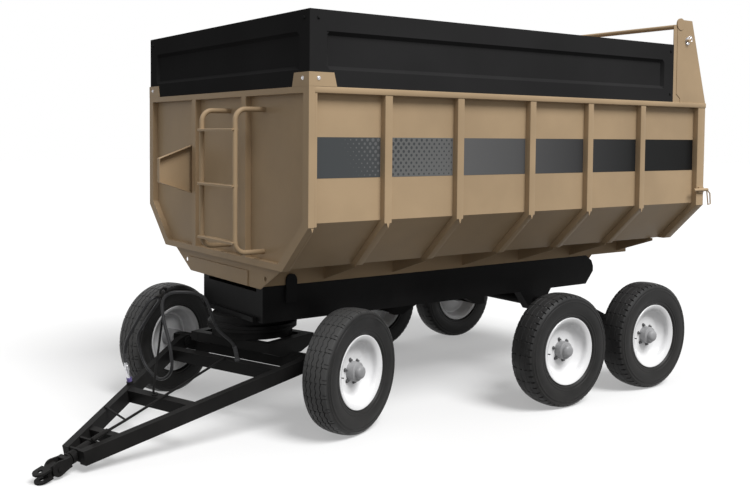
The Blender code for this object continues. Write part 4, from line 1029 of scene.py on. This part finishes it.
@dataclass
class Tub:
    """The tub's steel and what is fixed to it."""

    decal_foot: float = 1.608
    decal_top: float = 1.842
    rib_depth: float = 0.045
    rib_inset: float = 0.004
    floor_z: float = 1.055
    floor_half: float = 0.815
    apron_x: float = -0.045
    apron_foot: float = 0.903
    steel: tuple[str, ...] = ("tub_shell", "front_frame", "rear_arch", "tub_subframe", "latch_left",
                              "latch_right", "tailgate")
    boards: tuple[str, ...] = ("board_left", "board_right", "board_front")

    def bays(self) -> list[tuple[float, float]]:
        """The bays between two ribs.

        Returns:
            Front and rear end of each.
        """
        ribs = [-share * TUB_LENGTH for share in RIB_PLACES]
        fronts = [FRONT_POST[0]] + [x - RIB_HALF for x in ribs]
        rears = [x + RIB_HALF for x in ribs] + [REAR_POST_X]
        return list(zip(fronts, rears))

    def half_outline(self, inset: float) -> np.ndarray:
        """Side line of the tub in Y and Z, from the rim over the kink to the
        floor.

        Args:
            inset: How far it lies inside the outer one, square to it.

        Returns:
            Its three points on the left side.
        """
        fall = np.array([self.floor_half - TUB_HALF, self.floor_z - KINK_Z])
        fall = fall / np.linalg.norm(fall)
        start = np.array([TUB_HALF, KINK_Z]) + inset * np.array([fall[1], -fall[0]])
        side = TUB_HALF - inset
        kink = start[1] + fall[1] * (side - start[0]) / fall[0]
        foot = start[0] + fall[0] * (self.floor_z - start[1]) / fall[1]
        return np.array([(side, RIM_TOP - 0.018), (side, kink), (foot, self.floor_z)])

    def rib(self, rear: float, front: float) -> Shape:
        """One rib or post: a bar bent at the kink, its outer edges rounded.

        Args:
            rear: Its rear face, behind the tub's front face.
            front: Its front face.

        Returns:
            The closed bar on the left side.
        """
        outer, inner = self.half_outline(self.rib_inset), self.half_outline(self.rib_depth)
        x = np.array([rear, rear, rear + 0.0010, rear + 0.0035, front - 0.0035, front - 0.0010,
                      front, front])
        share = np.array([1.0, 0.085, 0.025, 0.0, 0.0, 0.025, 0.085, 1.0])
        line = outer[:, None, :] + (inner - outer)[:, None, :] * share[None, :, None]
        return grid(np.concatenate([np.broadcast_to(x[None, :, None], (3, 8, 1)), line], -1),
                    wrap_columns=True, capped=True)

    def side_frames(self) -> None:
        """Rim, front and rear post and five ribs along each side."""
        ribs = [self.rib(-share * TUB_LENGTH - RIB_HALF, -share * TUB_LENGTH + RIB_HALF)
                for share in RIB_PLACES]
        posts = [self.rib(*FRONT_POST), self.rib(-TUB_LENGTH, REAR_POST_X)]
        y0, y1, z0, z1 = TUB_HALF - self.rib_depth, TUB_HALF, RIM_TOP - 0.036, RIM_TOP
        edge, corner = 0.0030, 0.001
        ring = np.array([(y0, z0), (y1 - edge, z0), (y1 - corner, z0 + corner), (y1, z0 + edge),
                         (y1, z1 - edge), (y1 - corner, z1 - corner), (y1 - edge, z1),
                         (y0 + edge, z1), (y0, z1 - edge)])
        x = np.broadcast_to(np.array([-TUB_LENGTH, FRONT_POST[1]])[:, None, None], (2, len(ring), 1))
        rim = grid(np.concatenate([x, np.broadcast_to(ring, (2, len(ring), 2))], -1),
                   wrap_columns=True, capped=True)
        left = joined([rim] + ribs + posts)
        for word, shape in (("left", left), ("right", left.flipped_y())):
            add_piece("side_frame_%s_steel" % word, shape.moved(TUB), TAN, "tub", ("side_frame_" + word,))

    def holder(self) -> None:
        """Channel bracket on the front face, open towards the ladder."""
        root, tip, far, near, sheet = -0.0400, 0.2300, -0.4350, -0.3960, 0.004
        low, low_tip, high_tip, high = 1.440, 1.530, 1.690, 1.790
        web = plate([(root, low), (tip, low_tip), (tip, high_tip), (root, high)], far, far + sheet)
        top = [(root, high - sheet), (tip, high_tip - sheet), (tip, high_tip), (root, high)]
        foot = [(root, low), (tip, low_tip), (tip, low_tip + sheet), (root, low + sheet)]
        end = [(tip - sheet, low_tip + sheet), (tip, low_tip + sheet), (tip, high_tip - sheet),
               (tip - sheet, high_tip - sheet)]
        flanges = [plate(outline, far + sheet, near) for outline in (top, foot, end)]
        add_piece("holder_channel", joined([web] + flanges).moved(TUB), TAN, "tub", ("holder_bracket",))

    def corner_tabs(self) -> None:
        """Wide plates over the front corners, which hold the boards' feet."""
        foot, head, proud = RIM_TOP + 0.0003, RIM_TOP + 0.080, 0.0006
        side = plate([(proud, foot), (-0.188, foot), (-0.168, head), (proud, head)],
                     TUB_HALF - 0.0045, TUB_HALF + proud)
        corner = TUB_HALF - 0.0046
        across = plate([(corner, foot), (0.922, foot), (0.942, head), (corner, head)], -0.0045, proud)
        left = joined([side, across.traded([1, 0, 2])])
        add_piece("corner_tabs", joined([left, left.flipped_y()]).moved(TUB), TAN, "tub")

    def apron_lip(self) -> None:
        """Doubling plate on the apron: its top edge and its left end stand proud."""
        foot, head, right, left = self.apron_foot + 0.002, self.apron_foot + 0.100, -0.478, 0.340
        face, sheet, edge = self.apron_x, 0.0070, 0.0015
        outline = np.array([(right, foot), (left, foot), (left, head), (right - 0.040, head)])
        inner = outline + np.sign(outline.mean(axis=0) - outline) * edge
        rings = [np.insert(line, 0, x, axis=1) for line, x in (
            (outline, face + 0.0001), (outline, face + sheet - edge), (inner, face + sheet))]
        shape = grid(np.stack(rings), wrap_columns=True, capped=True)
        add_piece("apron_lip", shape.moved(TUB), TAN, "tub", smooth=20.0)

    def arch_strips(self) -> None:
        """Strips that carry the arch's plates forward to the side boards."""
        outline = [(-3.345, 2.1256), (-3.2530, 2.1256), (-3.2530, 2.7000), (-3.2980, 2.7040),
                   (-3.2980, 2.1900), (-3.345, 2.1600)]
        left = plate(outline, 1.0850, 1.0895)
        add_piece("arch_strips", joined([left, left.flipped_y()]).moved(TUB), TAN, "tub")

    def decals(self) -> None:
        """Blank vinyl panels in every bay, and a honeycomb of dots in the first
        two: light ones that grow to the rear, then dark ones that shrink."""
        y = SIDE_SHEET_Y
        panels = [bar((rear + 0.003, y + 0.0002, self.decal_foot),
                      (front - 0.003, y + 0.0010, self.decal_top)) for front, rear in self.bays()]
        for word, turn in (("left", False), ("right", True)):
            shape = joined(panels).moved(TUB)
            add_piece("decals_" + word, shape.flipped_y() if turn else shape, DECAL, "tub")
            for number, finish, low, high in ((0, DOT_LIGHT, 0.0, 0.0105), (1, DOT_DARK, 0.0105, 0.0060)):
                dots = self.dots(number, low, high).moved(TUB)
                name = "decal_dots_%d_%s" % (number + 1, word)
                add_piece(name, dots.flipped_y() if turn else dots, finish, "tub")

    def dots(self, number: int, low: float, high: float) -> Shape:
        """Round dots on a staggered grid, which grow a little with height; those
        under two millimetres across are left out.

        Args:
            number: Which bay, from the front.
            low: A dot's radius at the bay's front.
            high: Its radius at the bay's rear.

        Returns:
            All the dots of one bay on the left side.
        """
        front, rear = self.bays()[number]
        pitch, lift, sides = 0.0400, 0.0228, 10
        rows = np.arange(10)
        columns = np.arange(int((front - rear) / pitch) + 2)
        z, x = np.meshgrid(self.decal_foot + 0.0145 + rows * lift, front + 0.004 - columns * pitch,
                           indexing="ij")
        x = x - 0.5 * pitch * (rows % 2)[:, None]
        share = np.clip((front - x) / (front - rear), 0.0, 1.0)
        height = (z - self.decal_foot) / (self.decal_top - self.decal_foot)
        if number == 0:
            share = np.clip((share - 0.52 + 0.22 * height) / 0.55, 0.0, 1.0)
        radius = ((low + (high - low) * share) * (0.80 + 0.30 * height)).ravel()
        centre = np.stack([x.ravel(), np.full(x.size, SIDE_SHEET_Y), z.ravel()], -1)
        inside = (centre[:, 0] - radius > rear + 0.005) & (centre[:, 0] + radius < front - 0.005)
        keep = (radius > 0.0010) & inside
        radius, centre = radius[keep], centre[keep]
        turn = np.arange(sides) * TAU / sides
        ring = np.stack([np.cos(turn), np.zeros(sides), np.sin(turn)], -1)
        foot = centre[:, None, :] + radius[:, None, None] * ring + [0, 0.0008, 0]
        head = centre[:, None, :] + radius[:, None, None] * ring + [0, 0.0013, 0]
        points = np.stack([foot, head], 1).reshape(-1, 3)
        starts = np.arange(len(radius))[:, None, None] * 2 * sides
        side = np.arange(sides)
        walls = np.stack([side, (side + 1) % sides, (side + 1) % sides + sides, side + sides], -1)
        ends = starts[:, :, 0] + np.concatenate([side[::-1], side + sides])
        caps = np.concatenate([ends[:, :sides], ends[:, sides:]]).tolist()
        return Shape(points, (walls[None] + starts).reshape(-1, 4), caps)

    def ladder(self) -> None:
        """Two bent rails as tubes along rounded corners, and three pressed rungs."""
        reach, low, high, bend = 0.160, 1.145, 2.005, 0.070
        turn = np.radians(np.linspace(0, 90, 9))
        foot = np.stack([reach - bend + bend * np.sin(turn), low + bend - bend * np.cos(turn)], -1)
        head = np.stack([reach - bend + bend * np.cos(turn), high - bend + bend * np.sin(turn)], -1)
        line = np.concatenate([[(-0.040, low)], foot, head, [(-0.040, high)]])
        rails = [tube(np.insert(line, 1, y, axis=1), 0.016, 18) for y in (0.100, 0.540)]
        add_piece("ladder_rails", joined(rails).moved(TUB), TAN, "tub", ("front_ladder",))
        rungs = []
        for z in (1.210, 1.5475, 1.885):
            section = [(reach - 0.015, z - 0.004), (reach - 0.015, z + 0.004), (reach + 0.024, z + 0.004),
                       (reach + 0.027, z + 0.001), (reach + 0.027, z - 0.012),
                       (reach + 0.024, z - 0.012), (reach + 0.024, z - 0.004)]
            rungs.append(plate(section, 0.088, 0.552))
        add_piece("ladder_rungs", joined(rungs).moved(TUB), TAN, "tub")

    def bolts(self) -> None:
        """Bolts of the corner tabs and the extension boards."""
        head = hexagon_bolt(0.0085, 0.0060)
        forward = head.traded([1, 0, 2])
        tab_z, board_y, board_z = RIM_TOP + 0.046, 1.0947, BOARD_TOP - 0.045
        tabs = [copies(head, np.array([(-0.064, TUB_HALF, tab_z)])),
                copies(forward, np.array([(0.0, 1.036, tab_z)]))]
        boards = [copies(head, np.array([(-0.064, board_y, board_z), (-3.215, board_y, BOARD_TOP - 0.050),
                                         (-3.215, board_y, RIM_TOP + 0.060)])),
                  copies(forward, np.array([(-0.006, 1.040, board_z)]))]
        for name, finish, shapes in (("tab_bolts", ZINC, tabs), ("board_bolts", BOARD, boards)):
            shape = joined(shapes + [one.flipped_y() for one in shapes])
            add_piece(name, shape.moved(TUB), finish, "tub")

    def rib_tips(self) -> None:
        """Pointed ends of the ribs' flat faces, below the kink."""
        one = plate([(-0.012, 0.004), (0.012, 0.004), (0.0, -0.030)], 1.0925, 1.0965)
        ribs = [-share * TUB_LENGTH for share in RIB_PLACES] + [-0.030]
        places = np.array([(x, 0.0, KINK_Z) for x in ribs])
        left = copies(one, places)
        add_piece("rib_tips", joined([left, left.flipped_y()]).moved(TUB), TAN, "tub")

    def gate_pins(self) -> None:
        """Linch pins through the tailgate's hinge pins, with their washers."""
        x, z, y = -3.415, 2.590, 1.0935
        washer = revolved([(0.0160, 0.0), (0.0290, 0.0), (0.0295, 0.0035), (0.0160, 0.0040)], 28)
        washer = washer.shifted((x, y, z))
        turn = np.radians(np.linspace(-60, 240, 22))
        loop = 0.022
        ring = np.stack([x - 0.016 + loop * np.cos(turn), np.full(len(turn), y + 0.013),
                         z + 0.016 + loop * np.sin(turn)], -1)
        needle = np.array([(x + 0.020, y + 0.011, z - 0.022), (x - 0.030, y + 0.011, z + 0.032)])
        left = joined([washer, tube(ring, 0.0028, 10), tube(even_line(needle, 0.01), 0.0042, 10)])
        add_piece("gate_pins", joined([left, left.flipped_y()]).moved(TUB), ZINC, "tub")

    def build(self) -> None:
        """Makes the tub's pieces."""
        for node in self.steel:
            WeldedSteel(node, TAN).build()
        self.side_frames()
        self.holder()
        self.arch_strips()
        self.apron_lip()
        self.corner_tabs()
        for node in self.boards:
            WeldedSteel(node, BOARD, 0.0008).build()
        self.decals()
        self.ladder()
        self.bolts()
        self.rib_tips()
        self.gate_pins()


# Chassis, bogies and drawbar


@dataclass
class RunningGear:
    """The black steel under the tub, and the tipping cylinder."""

    steel: tuple[str, ...] = ("chassis_frame", "turntable_upper", "turntable_lower", "tandem_hanger",
                              "walking_beam_left", "walking_beam_right", "front_axle_frame",
                              "drawbar_frame", "tow_fork", "tow_clevis", "cylinder_barrel")
    bright: tuple[str, ...] = ("cylinder_stage_1", "cylinder_stage_2", "cylinder_rod")

    def greasers(self) -> None:
        """Grease nipples on the walking beams' pivots."""
        nipple = revolved([(CORE_R, 0.0), (0.0060, 0.0), (0.0060, 0.0050), (0.0035, 0.0070),
                           (0.0035, 0.0110), (0.0045, 0.0130), (0.0030, 0.0160), (CORE_R, 0.0160)],
                          12, closed=False)
        beam = nipple.shifted((-2.545, 0.8095, 0.580))
        add_piece("beam_greasers", joined([beam, beam.flipped_y()]).moved(TUB), ZINC, "chassis")

    def build(self) -> None:
        """Makes the running gear's pieces."""
        for node in self.steel:
            WeldedSteel(node, BLACK, 0.0020).build()
        for node in self.bright:
            WeldedSteel(node, STEEL, 0.0010).build()
        WeldedSteel("hose_gland", DARK_ZINC, 0.0006).build()
        self.greasers()


@dataclass
class DrawbarFittings:
    """The hose's stand and the steering lock's rod, as smooth round bars."""

    def stand(self) -> None:
        """Bent wire stand on its foot, ending in an open hook."""
        knots = np.array([(0.744, -0.040, 0.0445), (0.744, -0.040, 0.0820), (0.660, -0.047, 0.2600),
                          (0.500, -0.060, 0.6000), (0.494, -0.060, 0.6200), (0.510, -0.060, 0.6340),
                          (0.534, -0.060, 0.6300), (0.540, -0.060, 0.6080)])
        wire = tube(smooth_line(knots, 8), 0.0070, 12)
        profile = [(CORE_R, 0.0), (0.0200, 0.0), (0.0200, 0.0065), (0.0185, 0.0080), (CORE_R, 0.0080)]
        foot = revolved(profile, 24, closed=False).traded([0, 2, 1]).shifted((0.744, -0.040, 0.0403))
        add_piece("hose_stand_wire", joined([wire, foot]).moved(DRAW), BLACK, "drawbar", ("hose_stand",))

    def lock(self) -> None:
        """Lock rod with its grip, and the strut that guides it."""
        radius, leg_top, gap = 0.0080, 0.0400, 0.0003
        z = leg_top + radius + gap
        start, end = np.array([0.200, 0.040, z]), np.array([1.300, 0.060, z + 0.012])
        bar_line = np.array([start, [1.060, 0.055, z + 0.004], end])
        direction = (end - start) / np.linalg.norm(end - start)
        grip = even_line(np.array([end - direction * 0.105, end + direction * 0.012]), 0.0035)
        t = np.linspace(0.0, 1.0, len(grip))
        waist = 0.014 - 0.0011 * (np.sin(t * TAU * 9) > 0.2) - 0.004 * (np.abs(t - 0.5) > 0.48)
        strut = np.array([(1.060, 0.055, z + 0.004), (0.985, -0.214, 0.0488)])
        parts = [tube(even_line(bar_line, 0.03), radius, 12), tube(grip, waist, 20),
                 tube(even_line(strut, 0.03), 0.0060, 12)]
        add_piece("lock_rod_bar", joined(parts).moved(DRAW), BLACK, "drawbar", ("lock_rod",))

    def build(self) -> None:
        """Makes the drawbar's small pieces."""
        self.stand()
        self.lock()


# Studio


@dataclass(frozen=True)
class Viewpoint:
    """The photograph's camera, in pixels, metres and degrees."""

    width: float = 750.0
    height: float = 500.0
    focal: float = 929.49
    centre: tuple[float, float] = (340.82, 180.33)
    place: tuple[float, float, float] = (OFFSET + 2.7847, 5.4368, 1.8435)
    yaw: float = -124.7001
    pitch: float = -2.6696
    roll: float = 0.4268
    sensor: float = 36.0

    def build(self) -> None:
        """Makes the camera: it looks along yaw and pitch, turned by roll."""
        yaw, pitch, roll = (math.radians(a) for a in (self.yaw, self.pitch, self.roll))
        ahead = Vector((math.cos(yaw) * math.cos(pitch), math.sin(yaw) * math.cos(pitch), math.sin(pitch)))
        level = ahead.cross(Vector((0, 0, 1))).normalized()
        upright = level.cross(ahead)
        right = level * math.cos(roll) + upright * math.sin(roll)
        up = upright * math.cos(roll) - level * math.sin(roll)
        data = bpy.data.cameras.new("camera")
        data.sensor_width = self.sensor
        data.lens = self.focal / self.width * self.sensor
        data.shift_x = (self.width / 2 - self.centre[0]) / self.width
        data.shift_y = (self.centre[1] - self.height / 2) / self.width
        data.clip_end = 200.0
        camera = bpy.data.objects.new("camera", data)
        axes = Matrix((right, up, -ahead)).transposed().to_4x4()
        camera.matrix_world = Matrix.Translation(Vector(self.place)) @ axes
        bpy.context.scene.collection.objects.link(camera)
        bpy.context.scene.camera = camera


@dataclass
class Studio:
    """Pale floor, plain world and one soft lamp from the left."""

    ambient: float = 0.50
    floor_half: float = 60.0
    floor_dull: float = 0.12
    floor_pale: float = 0.53
    floor_glow: float = 0.35
    lamp_towards: tuple[float, float, float] = (-0.07, 0.60, 0.80)
    lamp_spread: float = 30.0
    lamp_strength: float = 3.5

    @staticmethod
    def seen(nodes: Nodes, links: Links) -> Socket:
        """Tells what is looked at from what only lights.

        Args:
            nodes: The tree's nodes.
            links: The tree's links.

        Returns:
            An output of one for the camera's rays, straight, mirrored or through glass,
            and of nothing for the rays that gather light.
        """
        path = nodes.new("ShaderNodeLightPath")
        share = path.outputs["Is Camera Ray"]
        for kind in ("Is Glossy Ray", "Is Transmission Ray"):
            larger = nodes.new("ShaderNodeMath")
            larger.operation = "MAXIMUM"
            links.new(share, larger.inputs[0])
            links.new(path.outputs[kind], larger.inputs[1])
            share = larger.outputs[0]
        return share

    def floor(self) -> None:
        """Wide floor: white to the camera and dull to the light it throws back."""
        mesh = bpy.data.meshes.new("floor")
        half = self.floor_half
        corners = [(-half, -half, 0), (half, -half, 0), (half, half, 0), (-half, half, 0)]
        mesh.from_pydata(corners, [], [(0, 1, 2, 3)])
        material = bpy.data.materials.new("floor")
        material.use_nodes = True
        nodes, links = material.node_tree.nodes, material.node_tree.links
        nodes.clear()
        seen = self.seen(nodes, links)
        dull = nodes.new("ShaderNodeBsdfDiffuse")
        dull.inputs["Color"].default_value = (*[self.floor_dull] * 3, 1.0)
        pale = nodes.new("ShaderNodeBsdfDiffuse")
        pale.inputs["Color"].default_value = (*[self.floor_pale] * 3, 1.0)
        glow = nodes.new("ShaderNodeEmission")
        glow.inputs["Color"].default_value = (1.0, 1.0, 1.0, 1.0)
        glow.inputs["Strength"].default_value = self.floor_glow
        lifted = nodes.new("ShaderNodeAddShader")
        links.new(pale.outputs[0], lifted.inputs[0])
        links.new(glow.outputs[0], lifted.inputs[1])
        mix = nodes.new("ShaderNodeMixShader")
        links.new(seen, mix.inputs[0])
        links.new(dull.outputs[0], mix.inputs[1])
        links.new(lifted.outputs[0], mix.inputs[2])
        result = nodes.new("ShaderNodeOutputMaterial")
        links.new(mix.outputs[0], result.inputs["Surface"])
        mesh.materials.append(material)
        floor = bpy.data.objects.new("floor", mesh)
        bpy.context.scene.collection.objects.link(floor)

    def world(self) -> None:
        """Grey light from all round; white where it is looked at or mirrored."""
        world = bpy.data.worlds.new("world")
        world.use_nodes = True
        nodes, links = world.node_tree.nodes, world.node_tree.links
        nodes.clear()
        seen = self.seen(nodes, links)
        white = nodes.new("ShaderNodeBackground")
        white.inputs["Color"].default_value = (1.0, 1.0, 1.0, 1.0)
        grey = nodes.new("ShaderNodeBackground")
        grey.inputs["Color"].default_value = (1.0, 1.0, 1.0, 1.0)
        grey.inputs["Strength"].default_value = self.ambient
        mix = nodes.new("ShaderNodeMixShader")
        links.new(seen, mix.inputs[0])
        links.new(grey.outputs[0], mix.inputs[1])
        links.new(white.outputs[0], mix.inputs[2])
        result = nodes.new("ShaderNodeOutputWorld")
        links.new(mix.outputs[0], result.inputs["Surface"])
        bpy.context.scene.world = world

    def lamp(self) -> None:
        """A far lamp, as wide in the sky as its spread in degrees."""
        data = bpy.data.lights.new("side_lamp", "SUN")
        data.angle = math.radians(self.lamp_spread)
        data.energy = self.lamp_strength
        lamp = bpy.data.objects.new("side_lamp", data)
        towards = Vector(self.lamp_towards)
        lamp.location = towards * 10.0
        lamp.rotation_euler = towards.to_track_quat("Z", "Y").to_euler()
        bpy.context.scene.collection.objects.link(lamp)

    def build(self) -> None:
        """Makes the floor, the world and the lamp."""
        self.floor()
        self.world()
        self.lamp()
        bpy.context.scene.view_settings.view_transform = "Standard"


def dress_wheels() -> None:
    """Builds the six wheels: two steered ones in front, four on the beams."""
    for side, word in ((1, "left"), (-1, "right")):
        front = tuple(BOGIE.out(np.array([0.0, side * FRONT_HALF_TRACK, TYRE_R])))
        Wheel(front, STEER, side, Tread.RIBBED, "tyre_front_" + word, "wheel_front_" + word,
              "front_wheel_" + word).build()
        for number, x in enumerate(REAR_AXLES, start=1):
            tag = "%s_%d" % (word, number)
            Wheel((x + OFFSET, side * REAR_HALF_TRACK, TYRE_R), 0.0, side, Tread.WORN, "tyre_rear_" + tag,
                  "wheel_rear_" + tag, "rear_wheel_" + tag).build()


def main() -> None:
    """Builds the camera, the hose, the trailer's pieces and the studio in order."""
    logging.basicConfig(level=logging.INFO, format="%(message)s")
    Viewpoint().build()
    Hose().build()
    Tub().build()
    RunningGear().build()
    DrawbarFittings().build()
    dress_wheels()
    Studio().build()


if __name__ == "__main__":
    main()
